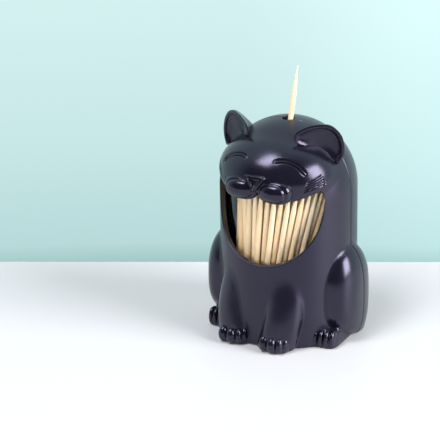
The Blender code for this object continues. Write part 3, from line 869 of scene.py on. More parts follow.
@dataclass
class Shell:
    """What the front and rear shells share: forms, rays and the room inside."""

    barrel: Barrel = Barrel()
    haunch: Haunch = Haunch()
    cavity: Cavity = Cavity()
    seam_y: float = 0.00015
    edge_radius: float = 0.00035
    seam_radius: float = 0.00020
    foot_radius: float = 0.0011
    crease: float = 42.0
    limbs_to: float = 0.046
    limb_heights: tuple[float, float] = (0.001, 0.038)
    limb_levels: int = 16
    reach: tuple[float, float] = (0.0200, 0.0420)
    samples: int = 30
    halvings: int = 16
    fine_bearings: int = 900
    steepest: float = 0.12
    polish_share: float = 0.6
    polish_from: float = 0.0012

    def field_at(self, points: Array) -> Array:
        """Distance from the shell's outer forms."""
        raise NotImplementedError

    def cast(self, start: Array, direction: Array) -> Array:
        """Outermost place of the forms along rays.

        The field is read at even steps inwards from the far reach. The first step that falls inside
        is then halved until the surface is found.

        Args:
            start: (..., 3) points inside.
            direction: (..., 3) unit vectors outwards.

        Returns:
            (...) distances along the rays.
        """
        steps = np.linspace(self.reach[1], self.reach[0], self.samples)
        outer = np.full(start.shape[:-1], steps[0])
        inner = np.full(start.shape[:-1], steps[-1])
        found = np.zeros(start.shape[:-1], bool)
        for near, far in zip(steps[1:], steps[:-1]):
            inside = ~found & (self.field_at(start + near * direction) < 0)
            outer = np.where(inside, far, outer)
            inner = np.where(inside, near, inner)
            found |= inside
        for _ in range(self.halvings):
            middle = (outer + inner) / 2
            inside = self.field_at(start + middle[..., None] * direction) < 0
            inner = np.where(inside, middle, inner)
            outer = np.where(inside, outer, middle)
        return (outer + inner) / 2

    def surface(self, start: Array, direction: Array) -> Array:
        """Outermost points of the forms along rays."""
        return start + self.cast(start, direction)[..., None] * direction

    def settled(self, track: Array) -> Array:
        """Points of a line, moved along rays from the dome's centre onto the surface.

        Args:
            track: (n, 3) points near the surface.

        Returns:
            (n, 3) points on it.
        """
        centre = DOME_CENTRE_Z * UP
        direction = track - centre
        direction /= np.linalg.norm(direction, axis=-1, keepdims=True)
        return self.surface(np.broadcast_to(centre, track.shape), direction)

    def level_rays(self, bearing: Array, height: Array) -> tuple[Array, Array]:
        """Start and direction of rays level with the table."""
        return height[..., None] * UP, rings(bearing, 1.0, np.zeros_like(height))

    def dome_rays(self, bearing: Array, rise: Array) -> tuple[Array, Array]:
        """Start and direction of rays from the dome's centre, at rises in radians."""
        direction = rings(bearing, np.cos(rise), np.sin(rise))
        return np.broadcast_to(DOME_CENTRE_Z * UP, direction.shape), direction

    def seam_turn(self, radius: float) -> float:
        """Bearing in radians, from the nose or the tail, at which a radius meets the seam."""
        return math.acos(self.seam_y / radius)

    def crowded(self, low: float, high: float, count: int, extra: tuple[Array, Array] | None = None) -> Array:
        """Bearings between two, close together where the limbs' sides are steep.

        The run of the surface along a ring is the root of radius squared plus its change squared. The
        greatest run over several heights and both sides is summed, and the sum is cut into even parts.

        Args:
            low: first bearing in radians.
            high: last bearing.
            count: how many are made.
            extra: bearings, and how much closer than elsewhere they are.

        Returns:
            (count,) bearings in radians.
        """
        fine = np.linspace(low, high, self.fine_bearings)
        heights = np.repeat(np.linspace(*self.limb_heights, self.limb_levels)[:, None], len(fine), axis=1)
        run = np.zeros_like(fine)
        for side in (fine, -fine):
            radius = self.cast(*self.level_rays(side, heights))
            change = np.clip(np.gradient(radius, fine, axis=1), -self.steepest, self.steepest)
            run = np.maximum(run, np.sqrt(radius**2 + change**2).max(axis=0))
        if extra is not None:
            run = run * np.interp(fine, *extra)
        total = np.concatenate([[0.0], np.cumsum((run[1:] + run[:-1]) / 2)])
        return np.interp(np.linspace(0, total[-1], count), total, fine)

    def polish(self, grid: Array) -> Array:
        """How polished each point is: what stands out of the barrel more than the barrel."""
        return self.polish_share * np.clip(self.barrel.distance(grid) / self.polish_from, 0.0, 1.0)

    def edges_rounded(self, grid: Array, *others: Array) -> Array:
        """An outer grid with its edges at the seam, the hole and the table rounded.

        Each point is pulled in towards the axis, or towards the dome's centre above it, by the
        greatest fall.

        Args:
            grid: (rows, columns, 3) points.
            others: how far other edges fall away at each point.

        Returns:
            (rows, columns, 3) points.
        """
        hole = np.linalg.norm(grid[..., :2], axis=-1) - self.cavity.hole_radius
        seam = np.abs(grid[..., 1]) - self.seam_y
        falls = [
            rounded(seam, self.seam_radius), rounded(np.abs(hole), self.edge_radius),
            rounded(grid[..., 2], self.foot_radius), *others]
        level = grid - np.minimum(grid[..., 2:], DOME_CENTRE_Z) * UP
        outwards = level / np.linalg.norm(level, axis=-1, keepdims=True)
        return grid - outwards * np.maximum.reduce(falls)[..., None]


@dataclass
class FrontShell(Shell):
    """Front shell: barrel, face, front legs, fronts of the haunches, and the mouth's window."""

    face: Egg = Egg((0.0, -0.0080, 0.0690), (0.0245, 0.0210, 0.0160))
    leg: FrontLeg = FrontLeg()
    front_paw: Egg = Egg((0.0094, -0.0266, 0.0018), (0.0058, 0.0044, 0.0052), 2.4, 2.4)
    hind_paw: Egg = Egg((0.0235, -0.0088, 0.0006), (0.0054, 0.0090, 0.0065), 4.5, 3.4)
    mouth: Mouth = Mouth()
    face_from: float = 0.050
    face_blend: float = 0.0008
    limb_blend: float = 0.0007
    paw_blend: float = 0.0006
    leg_turn: float = -5.6
    paw_turn: float = PAW_TURN
    half_columns: int = 190
    lower_rows: int = 72
    upper_rows: int = 128
    dense_bearings: tuple[float, ...] = (0.0, 8.0, 62.0, 66.0, 90.0)
    dense_shares: tuple[float, ...] = (1.0, 1.25, 1.25, 0.9, 0.9)
    upper_counts: tuple[float, ...] = (0.0, 0.04, 0.78, 0.83, 1.0)
    upper_places: tuple[float, ...] = (0.0, 0.05, 0.52, 0.60, 1.0)
    lip_reach: float = 0.0280
    lip_rounds: int = 4
    rim_radius: float = 0.000455
    rim_rows: int = 12
    rim_side: float = 0.0240
    eye_knots: tuple[Point, ...] = (
        (0.0064, -0.0241, 0.0783), (0.0082, -0.0231, 0.0787), (0.0106, -0.0223, 0.0785),
        (0.0138, -0.0215, 0.0774), (0.0158, -0.0212, 0.0760), (0.0175, -0.0210, 0.0741))
    eye_cut: tuple[float, float, float] = (0.00065, 0.00030, 0.00128)
    whisker_starts: tuple[Point, Point] = ((0.0186, -0.0216, 0.0707), (0.0173, -0.0229, 0.0668))
    whisker_ends: tuple[Point, Point] = ((0.0221, -0.0156, 0.0727), (0.0235, -0.0141, 0.0689))
    whisker_cut: tuple[float, float] = (0.00038, 0.00021)
    whisker_bow: float = 1.02
    whisker_count: int = 5

    def field_at(self, points: Array) -> Array:
        """Blend of the barrel, face, haunch, leg and paws, the same on both sides.

        The front legs and their paws are turned a little about the barrel, as in the photograph.

        Args:
            points: (..., 3) places.

        Returns:
            (...) distances, less than zero inside.
        """
        at_leg, at_paw = (folded(turned(points, -turn)) for turn in (self.leg_turn, self.paw_turn))
        points = folded(points)
        made = self.barrel.distance(points)
        if points[..., 2].max() > self.face_from:
            made = smooth_min(made, self.face.distance(points), self.face_blend)
        if points[..., 2].min() < self.limbs_to:
            made = smooth_min(made, self.haunch.distance(points), self.limb_blend)
            limb = smooth_min(self.leg.distance(at_leg), self.front_paw.distance(at_paw), self.paw_blend)
            made = smooth_min(made, limb, self.limb_blend)
            made = smooth_min(made, self.hind_paw.distance(points), self.paw_blend)
        return made

    def engravings(self) -> list[Engraving]:
        """Closed eye and whiskers on one side, the eye as a pair of grooves with a ridge between.

        Returns:
            The eye and then each whisker.
        """
        made = [Engraving(self.eye_knots, *self.eye_cut)]
        starts, ends = np.array(self.whisker_starts), np.array(self.whisker_ends)
        for share in np.linspace(0, 1, self.whisker_count):
            first, last = (low * (1 - share) + high * share for low, high in (starts, ends))
            middle = (first + last) / 2
            middle[:2] *= self.whisker_bow
            made.append(Engraving((first, middle, last), *self.whisker_cut))
        return made

    def upper_grid(self, bearing: Array, lip_z: Array) -> Array:
        """Outer points from the lip to the hole, with the eyes and whiskers cut in.

        Args:
            bearing: columns in radians, the same on both sides.
            lip_z: the lip's height for each column.

        Returns:
            (rows, columns, 3) points.
        """
        height = lip_z - DOME_CENTRE_Z
        lip_rise = np.arcsin(np.clip(height / self.lip_reach, 0.0, 1.0))
        for _ in range(self.lip_rounds):
            reach = self.cast(*self.dome_rays(bearing, lip_rise[None, :]))
            lip_rise = np.arcsin(np.clip(height / reach[0], 0.0, 1.0))
        top_rise = np.full_like(lip_rise, math.acos(self.cavity.hole_radius / self.barrel.radius))
        steps = EDGE_STEPS / self.barrel.radius
        weight = np.interp(np.linspace(0, 1, self.upper_rows), self.upper_counts, self.upper_places)
        start, direction = self.dome_rays(bearing, spread_rows(lip_rise, top_rise, steps, steps, weight))
        half = len(bearing) // 2
        reach = self.cast(start[:, half:], direction[:, half:])
        right = start[:, half:] + reach[..., None] * direction[:, half:]
        reach = reach - sum(line.depth_at(right, self.settled(line.track())) for line in self.engravings())
        reach = np.concatenate([reach[:, :0:-1], reach], axis=1)
        return start + reach[..., None] * direction

    def build(self, material: bpy.types.Material) -> None:
        """Make the front shell: outer grids over and under the mouth, lips, room inside and seam.

        Args:
            material: its finish.
        """
        corner = math.radians(self.mouth.half_bearing)
        dense = (np.radians(self.dense_bearings), np.array(self.dense_shares))
        half = self.crowded(0.0, self.seam_turn(self.barrel.radius), self.half_columns, dense)
        half[np.argmin(np.abs(half - corner))] = corner
        bearing = np.concatenate([-half[:0:-1], half])
        inside = np.abs(bearing) < corner - TINY

        low_z = self.mouth.lower(bearing)
        weight = np.linspace(0, 1, self.lower_rows)
        lower_z = spread_rows(np.zeros_like(low_z), low_z, EDGE_STEPS, EDGE_STEPS, weight)
        lower = self.surface(*self.level_rays(bearing, lower_z))
        upper = self.upper_grid(bearing, self.mouth.upper(bearing))
        upper[0, ~inside] = lower[-1, ~inside]
        lower, upper = self.rims_rounded(lower, upper, inside)
        low_in, up_in = self.inner_grids(bearing, lower, upper, inside)

        sheets = Sheets()
        low_index = sheets.add_grid(lower, value=self.polish(lower))
        up_index = sheets.add_grid(upper, value=self.polish(upper))
        low_in_index = sheets.add_grid(low_in)
        up_in_index = sheets.add_grid(up_in)
        open_columns = np.repeat((inside[1:] | inside[:-1])[None, :], 2, axis=0)
        for outer_lip, inner_lip in ((lower[-1], low_in[0]), (upper[0], up_in[0])):
            sheets.add_grid(np.stack([outer_lip, (outer_lip + inner_lip) / 2, inner_lip]), keep=open_columns)
        sheets.add_grid(np.stack([low_in[-1], lower[0]]))
        sheets.add_grid(np.stack([upper[-1], up_in[-1]]))
        for side in (0, -1):
            sheets.outlines.append([
                *low_index[:-1, side], *up_index[:, side], *up_in_index[::-1, side], *low_in_index[1:, side]])
        piece = sheets.build("front_shell_dressed", self.crease)
        finish_piece(piece, Body.CAT, material, Slot.BLACK, "front_shell")

    def inner_grids(self, bearing: Array, lower: Array, upper: Array, inside: Array) -> tuple[Array, Array]:
        """Inner wall under and over the mouth, whose edges lie straight behind the outer ones.

        Args:
            bearing: columns in radians.
            lower: outer points under the mouth.
            upper: outer points over it.
            inside: which columns cross the mouth.

        Returns:
            Inner points from the mouth down to the table, and from the mouth up to the hole.
        """
        room = self.cavity
        edge = room.behind(lower[-1])
        corner = np.abs(edge[inside]).max()
        outer_corner = math.radians(self.mouth.half_bearing)
        past = (np.abs(bearing) - outer_corner) / (np.pi / 2 - outer_corner)
        turn = np.where(inside, edge, np.sign(bearing) * (corner + (np.pi / 2 - corner) * past))
        turn[[0, -1]] = -self.seam_turn(room.radius), self.seam_turn(room.radius)
        height = lower[-1, :, 2] * np.linspace(1, 0, room.rows)[:, None]
        low_in = rings(turn, room.radius_at(height), height)

        lip_turn = np.where(inside, room.behind(upper[0]), turn)
        start = np.arcsin(np.clip((upper[0, :, 2] - DOME_CENTRE_Z) / room.radius, 0, 1))
        stop = math.acos(room.boss_radius / room.radius)
        share = np.linspace(0, 1, room.rows)[:, None]
        fade = np.clip(share * 3, 0, 1)
        dome = room.dome(lip_turn * (1 - fade) + bearing * fade, start + (stop - start) * share)
        up_in = np.concatenate([dome, room.throat(bearing)])
        up_in[0, ~inside] = low_in[0, ~inside]
        return low_in, up_in

    def rims_rounded(self, lower: Array, upper: Array, inside: Array) -> list[Array]:
        """Both outer grids with every edge rounded, the mouth's rim among them.

        Args:
            lower: outer points under the mouth.
            upper: outer points over it.
            inside: which columns cross the mouth.

        Returns:
            The lower and the upper grid.
        """
        rim = np.concatenate([lower[-1, inside], upper[0, inside][::-1]])
        rim = np.concatenate([rim, rim[:1]])[::2]
        made = []
        for grid, rows in ((lower, slice(-self.rim_rows, None)), (upper, slice(0, self.rim_rows))):
            away = np.full(grid.shape[:2], np.inf)
            away[rows] = distance_to_track(grid[rows], rim)[0]
            away = np.where(np.abs(grid[..., 0]) < self.rim_side, away, np.inf)
            made.append(self.edges_rounded(grid, rounded(away, self.rim_radius)))
        return made


@dataclass
class RearShell(Shell):
    """Rear shell: barrel, backs of the haunches and the tail in low relief."""

    tail: Tail = Tail()
    limb_blend: float = 0.0012
    limb_heights: tuple[float, float] = (0.001, 0.040)
    polish_share: float = 0.5
    columns: int = 300
    lower_rows: int = 84
    upper_rows: int = 44
    row_power: float = 1.15

    def field_at(self, points: Array) -> Array:
        """Blend of the barrel, haunches and tail.

        Args:
            points: (..., 3) places.

        Returns:
            (...) distances, less than zero inside.
        """
        made = self.barrel.distance(points)
        if points[..., 2].min() < self.limbs_to:
            made = smooth_min(made, self.haunch.distance(folded(points)), self.limb_blend)
            made = smooth_min(made, self.tail.distance(points), self.limb_blend)
        return made

    def build(self, material: bpy.types.Material) -> None:
        """Make the rear shell: one outer grid, the room inside and the seam's faces.

        Args:
            material: its finish.
        """
        room, radius = self.cavity, self.barrel.radius
        stop = self.seam_turn(radius)
        bearing = self.crowded(math.pi - stop, math.pi + stop, self.columns)
        top, table = np.full_like(bearing, DOME_CENTRE_Z), np.zeros_like(bearing)
        at_edge = np.array([0.0])
        weight = np.linspace(0, 1, self.lower_rows) ** self.row_power
        lower_z = spread_rows(table, top, EDGE_STEPS, at_edge, weight)
        lower = self.surface(*self.level_rays(bearing, lower_z))
        top_rise = np.full_like(top, math.acos(room.hole_radius / radius))
        rise = spread_rows(table, top_rise, at_edge, EDGE_STEPS / radius, np.linspace(0, 1, self.upper_rows))
        outer = np.concatenate([lower, self.surface(*self.dome_rays(bearing, rise[1:]))])
        polish = self.polish(outer)
        outer = self.edges_rounded(outer)

        turn = math.pi + (bearing - math.pi) * (self.seam_turn(room.radius) / stop)
        wall = rings(turn, room.radius, np.array([[0.0], [DOME_CENTRE_Z]]))
        rise_in = np.linspace(0, 1, room.rows)[1:, None] * math.acos(room.boss_radius / room.radius)
        inner = np.concatenate([wall, room.dome(turn, rise_in), room.throat(turn)])

        sheets = Sheets()
        out_index = sheets.add_grid(outer, value=polish)
        in_index = sheets.add_grid(inner)
        sheets.add_grid(np.stack([inner[0], outer[0]]))
        sheets.add_grid(np.stack([outer[-1], inner[-1]]))
        for side in (0, -1):
            sheets.outlines.append([*out_index[:, side], *in_index[::-1, side]])
        piece = sheets.build("rear_shell_dressed", self.crease)
        finish_piece(piece, Body.CAT, material, Slot.BLACK, "rear_shell")


# Face and paws


@dataclass
class Ears:
    """Ears: a rim round a hollow, and a back that runs down into the dome at the seam.

    The right ear's own lines are held, and rim_section crosses its rim from the foot of the inner
    step to the far side of the crest, as distances inwards and outwards.
    """

    rim: tuple[Point, ...] = (
        (0.0103, -0.0154, 0.0846), (0.0104, -0.0153, 0.0865), (0.0111, -0.01485, 0.0880),
        (0.0125, -0.0139, 0.0890), (0.0142, -0.0127, 0.0898), (0.0162, -0.0114, 0.0904),
        (0.0182, -0.0101, 0.0907), (0.0202, -0.0088, 0.0906), (0.0218, -0.0077, 0.0901),
        (0.0232, -0.0067, 0.0892), (0.0246, -0.0058, 0.0876), (0.0257, -0.0051, 0.0856),
        (0.0264, -0.0047, 0.0832), (0.0267, -0.0045, 0.0807), (0.0265, -0.0046, 0.0782),
        (0.0258, -0.0051, 0.0762), (0.0248, -0.0058, 0.0746))
    floor: tuple[Point, ...] = (
        (0.0106, -0.0150, 0.0838), (0.0135, -0.0116, 0.0820), (0.0165, -0.0080, 0.0795),
        (0.0200, -0.0066, 0.0770), (0.0232, -0.0068, 0.0742))
    back: tuple[Point, ...] = (
        (0.0108, -0.0140, 0.0828), (0.0122, -0.0078, 0.0826), (0.0150, -0.0012, 0.0830),
        (0.0203, -0.0008, 0.0768), (0.0228, -0.0022, 0.0725))
    bulges: tuple[float, ...] = (0.0004, 0.0010, 0.0026, 0.0008, 0.0003)
    rim_section: tuple[tuple[float, float], ...] = (
        (0.0016, -0.0009), (0.001405, -0.00051), (0.0013, -0.00018), (0.00108, 0.0), (0.00065, 0.00006),
        (0.00030, 0.00002), (0.0, -0.00008), (-0.00010, -0.00038))
    hollow: float = 0.0007
    floor_rows: tuple[float, float, int] = (0.12, 0.94, 12)
    back_rows: tuple[float, float, int] = (0.08, 1.0, 14)
    columns: int = 72
    polish: float = 0.4
    crease: float = 50.0

    def grid(self) -> Array:
        """Points across the ear at each place along its rim.

        Rows run from the hollow's lower edge up its floor, over the step and the rounded rim, and
        down the back. The back bows away from the straight line by a sine of the share along it.

        Returns:
            (rows, columns, 3) points of the right ear.
        """
        share = np.linspace(0, 1, self.columns)
        lines = (self.rim, self.floor, self.back)
        rim, floor, back = (spline_through(np.array(knots), share) for knots in lines)
        out = np.cross(rim[-1] - rim[0], rim[self.columns // 2] - rim[0])
        out /= np.linalg.norm(out)
        inwards = np.cross(np.gradient(rim, axis=0), out)
        inwards /= np.linalg.norm(inwards, axis=1, keepdims=True)
        across = [rim + inwards * width + out * height for width, height in self.rim_section]
        rows = [floor]
        for part in np.linspace(*self.floor_rows):
            rows.append(floor * (1 - part) + across[0] * part - out * self.hollow * 4 * part * (1 - part))
        rows += across
        bulge = spline_through(np.array(self.bulges)[:, None], share)
        radial = back - DOME_CENTRE_Z * UP
        radial /= np.linalg.norm(radial, axis=1, keepdims=True)
        for part in np.linspace(*self.back_rows):
            rows.append(across[-1] * (1 - part) + back * part + radial * bulge * np.sin(np.pi * part))
        return np.stack(rows)

    def build(self, material: bpy.types.Material) -> None:
        """Make the right and left ears, each closed under the dome.

        Args:
            material: their finish.
        """
        for name, grid in (("right_ear", self.grid()), ("left_ear", self.grid() * MIRROR)):
            sheets = Sheets()
            index = sheets.add_grid(grid, value=self.polish)
            sheets.add_grid(np.stack([grid[-1], grid[0]]), value=self.polish)
            for side in (0, -1):
                sheets.outlines.append(list(index[:, side]))
            finish_piece(sheets.build(name, self.crease), Body.CAT, material, Slot.BLACK, "front_shell")


@dataclass
class Muzzle:
    """Two cheek pads that meet under the nose, and the nose with its raised border."""

    pad_centre: Point = (0.0070, -0.0256, 0.0667)
    pad_radii: Point = (0.0073, 0.0054, 0.0049)
    pad_groove: float = 0.00045
    pad_groove_at: float = 0.93
    pad_groove_width: float = 0.12
    nose_corner: Point = (0.0055, -0.0287, 0.0734)
    nose_tip: Point = (0.0, -0.0305, 0.0662)
    nose_depth: float = 0.0026
    border: float = 0.00095
    border_at: float = 0.80
    border_width: float = 0.21
    dent: float = 0.00055
    dent_edge: float = 0.66
    nose_lift: float = 0.0004
    nose_side: float = 0.0011
    nose_reach: float = 0.0048
    nose_round: float = 0.0009
    corner_power: float = 4.2
    nose_rows: tuple[float, ...] = (
        0.001, 0.2, 0.4, 0.55, 0.66, 0.73, 0.79, 0.84, 0.88, 0.92, 0.955, 0.98, 1.0, 1.0, 1.0)
    columns: int = 84
    pad_power: float = 2.5
    pad_rows: int = 60
    pad_columns: int = 72
    crease: float = 60.0

    def pads(self) -> bpy.types.Object:
        """Make both pads.

        Each is an egg on polar lines about the -Y axis: (sin t cos f, -cos t, sin t sin f) times its
        radii. A shallow groove, a bell of t, rings its front.

        Returns:
            The pads as one piece.
        """
        tilt = np.linspace(0.001, np.pi - 0.001, self.pad_rows)[:, None]
        turn = np.linspace(0, 2 * np.pi, self.pad_columns, endpoint=False)[None, :]
        power = self.pad_power
        square = (np.abs(np.cos(turn)) ** power + np.abs(np.sin(turn)) ** power) ** (-1 / power)
        ring = np.sin(tilt) * square
        unit = np.stack(np.broadcast_arrays(
            ring * np.cos(turn), -np.cos(tilt) + 0 * turn, ring * np.sin(turn)), axis=-1)
        cut = self.pad_groove * np.exp(-(((tilt - self.pad_groove_at) / self.pad_groove_width) ** 2))
        grid = np.array(self.pad_centre) + unit * np.array(self.pad_radii) - unit * cut[..., None]
        sheets = Sheets()
        for side in (grid, grid * MIRROR):
            sheets.add_grid(side, wrap=True, value=1.0)
        return sheets.build("cheek_pads", self.crease)

    def nose(self) -> bpy.types.Object:
        """Make the nose: a rounded triangle on polar lines, with a border ridge round a shallow dent.

        The triangle's reach in a direction is the sum of its parts towards the three sides, each raised
        to corner_power, and that sum's root.

        Returns:
            The nose.
        """
        right, tip = np.array(self.nose_corner), np.array(self.nose_tip)
        corners = np.stack([right, right * MIRROR, tip])
        middle = corners.mean(axis=0)
        across = np.array([1.0, 0.0, 0.0])
        upwards = (corners[0] + corners[1]) / 2 - tip
        upwards /= np.linalg.norm(upwards)
        out = np.cross(across, upwards)
        turn = np.linspace(0, 2 * np.pi, self.columns, endpoint=False)
        direction = np.stack([np.cos(turn), np.sin(turn)], axis=1)
        flat = (corners - middle) @ np.stack([across, upwards], axis=1)
        side = np.roll(flat, -1, axis=0) - flat
        normal = np.stack([side[:, 1], -side[:, 0]], axis=1)
        offset = (flat * normal).sum(axis=1)
        towards = np.maximum(direction @ (normal / offset[:, None]).T, 0.0)
        reach = (towards**self.corner_power).sum(axis=1) ** (-1 / self.corner_power)
        shares = np.array(self.nose_rows)
        ridge = np.exp(-(((shares - self.border_at) / self.border_width) ** 2)) * self.border
        dent = self.dent * np.clip(1 - (shares / self.dent_edge) ** 2, 0, 1)
        lift = ridge - dent - rounded((1 - shares) * self.nose_reach, self.nose_round) + self.nose_lift
        lift[-2:] = [-self.nose_side, -self.nose_depth]
        spread = direction[:, :1] * across + direction[:, 1:] * upwards
        grid = middle + (shares[:, None] * reach)[..., None] * spread + lift[:, None, None] * out
        sheets = Sheets()
        sheets.add_grid(grid, wrap=True, value=1.0)
        cap = middle - out * self.nose_depth + 0 * grid[:1]
        sheets.add_grid(np.concatenate([grid[-1:], cap]), wrap=True, value=1.0)
        return sheets.build("nose", self.crease)

    def build(self, material: bpy.types.Material) -> None:
        """Make the pads and then the nose."""
        for piece in (self.pads(), self.nose()):
            finish_piece(piece, Body.CAT, material, Slot.BLACK, "front_shell")


@dataclass
class Toes:
    """Four toes on each paw: large ones in front of the front paws, even ones on the hind paws."""

    front_centre: Point = (0.0094, -0.0272, 0.0)
    paw_turn: float = PAW_TURN
    front_toes: tuple[tuple[float, float, float], ...] = (
        (-0.0037, -0.0020, 0.00215), (0.0002, -0.0028, 0.00215),
        (0.0033, -0.0019, 0.00160), (0.0049, 0.0001, 0.00150))
    front_depth: float = 0.0026
    front_rise: float = 0.0034
    front_height: float = 0.0033
    hind_toes: tuple[tuple[float, float], ...] = (
        (0.0203, -0.0160), (0.0226, -0.0160), (0.0249, -0.0157), (0.0271, -0.0150))
    hind_radii: Point = (0.00130, 0.0030, 0.0038)
    hind_height: float = 0.0034
    rows: int = 18
    columns: int = 24
    crease: float = 60.0

    def grids(self) -> list[Array]:
        """Toes of all four paws.

        Returns:
            A grid for each toe.
        """
        made = []
        for side in (1.0, -1.0):
            paw = turned(np.array(self.front_centre) * np.array([side, 1.0, 1.0]), self.paw_turn)
            for x, y, radius in self.front_toes:
                place = (paw[0] + x, paw[1] + y, self.front_height)
                radii = (radius, self.front_depth, self.front_rise)
                made.append(superellipsoid(place, radii, (2.0, 2.0), self.rows, self.columns))
            for x, y in self.hind_toes:
                place = (x * side, y, self.hind_height)
                made.append(superellipsoid(place, self.hind_radii, (2.2, 2.4), self.rows, self.columns))
        return made

    def build(self, material: bpy.types.Material) -> None:
        """Make the toes of all four paws.

        Args:
            material: their finish.
        """
        sheets = Sheets()
        for grid in self.grids():
            sheets.add_grid(grid, wrap=True, value=1.0)
        finish_piece(sheets.build("toes", self.crease), Body.CAT, material, Slot.BLACK, "front_shell")


# Cup and toothpicks


@dataclass
class ClearCup:
    """Clear cup with a rounded rim."""

    outer: float = 0.0242
    inner: float = 0.0229
    bottom: float = 0.0025
    floor: float = 0.0039
    rim: float = 0.0655
    steps: int = 144

    def build(self, material: bpy.types.Material) -> None:
        """Make the cup by carrying its section round the axis.

        Args:
            material: its finish.
        """
        turn = np.linspace(0, np.pi, 7)
        half = (self.outer - self.inner) / 2
        middle = (self.outer + self.inner) / 2
        rim = np.stack([middle + half * np.cos(turn), self.rim - half + half * np.sin(turn)], axis=1)
        profile = np.concatenate([
            [(0.0, self.bottom), (self.outer - 0.0006, self.bottom),
             (self.outer - 0.0002, self.bottom + 0.0002), (self.outer, self.bottom + 0.0006)], rim,
            [(self.inner, self.floor + 0.0008), (self.inner - 0.0002, self.floor + 0.0002),
             (self.inner - 0.0008, self.floor), (0.0, self.floor)]])
        sheets = Sheets()
        sheets.add_grid(lathe(profile, self.steps), wrap=True)
        finish_piece(sheets.build("clear_cup_wall", 50.0), Body.BASE, material, Slot.CLEAR, "clear_cup")


@dataclass
class Toothpick:
    """Round toothpick, pointed at both ends."""

    length: float = 0.0650
    radius: float = 0.00105
    point: float = 0.00012
    taper: float = 0.0120
    sides: int = 12
    tip_shares: tuple[float, float] = (0.6, 1.3)
    tip_length: float = 0.0003
    taper_shares: tuple[float, ...] = (0.30, 0.62, 0.86, 1.0)
    taper_power: float = 0.94
    shoulder: float = 1.12

    def profile(self) -> Array:
        """Section of the pick, with the shoulders slightly rounded.

        Returns:
            (radius, height) corners from the foot to the top.
        """
        low = [(self.point * self.tip_shares[0], 0.0), (self.point * self.tip_shares[1], self.tip_length)]
        for share in self.taper_shares:
            radius = self.point + (self.radius - self.point) * share**self.taper_power
            low.append((radius, self.taper * share))
        low.append((self.radius, self.taper * self.shoulder))
        low = np.array(low)
        high = low[::-1] * np.array([1.0, -1.0]) + np.array([0.0, self.length])
        return np.concatenate([[(0.0, 0.0)], low, high, [(0.0, self.length)]])

    def placed(self, foot: Array, top: Array, turn: float) -> Array:
        """Grid of a toothpick from its foot towards its top.

        Args:
            foot: its lower end.
            top: its upper end.
            turn: how far it is turned about itself, in radians.

        Returns:
            (corners, sides, 3) points.
        """
        along = (top - foot) / np.linalg.norm(top - foot)
        side = np.cross(along, [0.0, 1.0, 0.0])
        side /= np.linalg.norm(side)
        other = np.cross(along, side)
        grid = turned(lathe(self.profile(), self.sides), math.degrees(turn))
        return foot + grid @ np.stack([side, other, along])


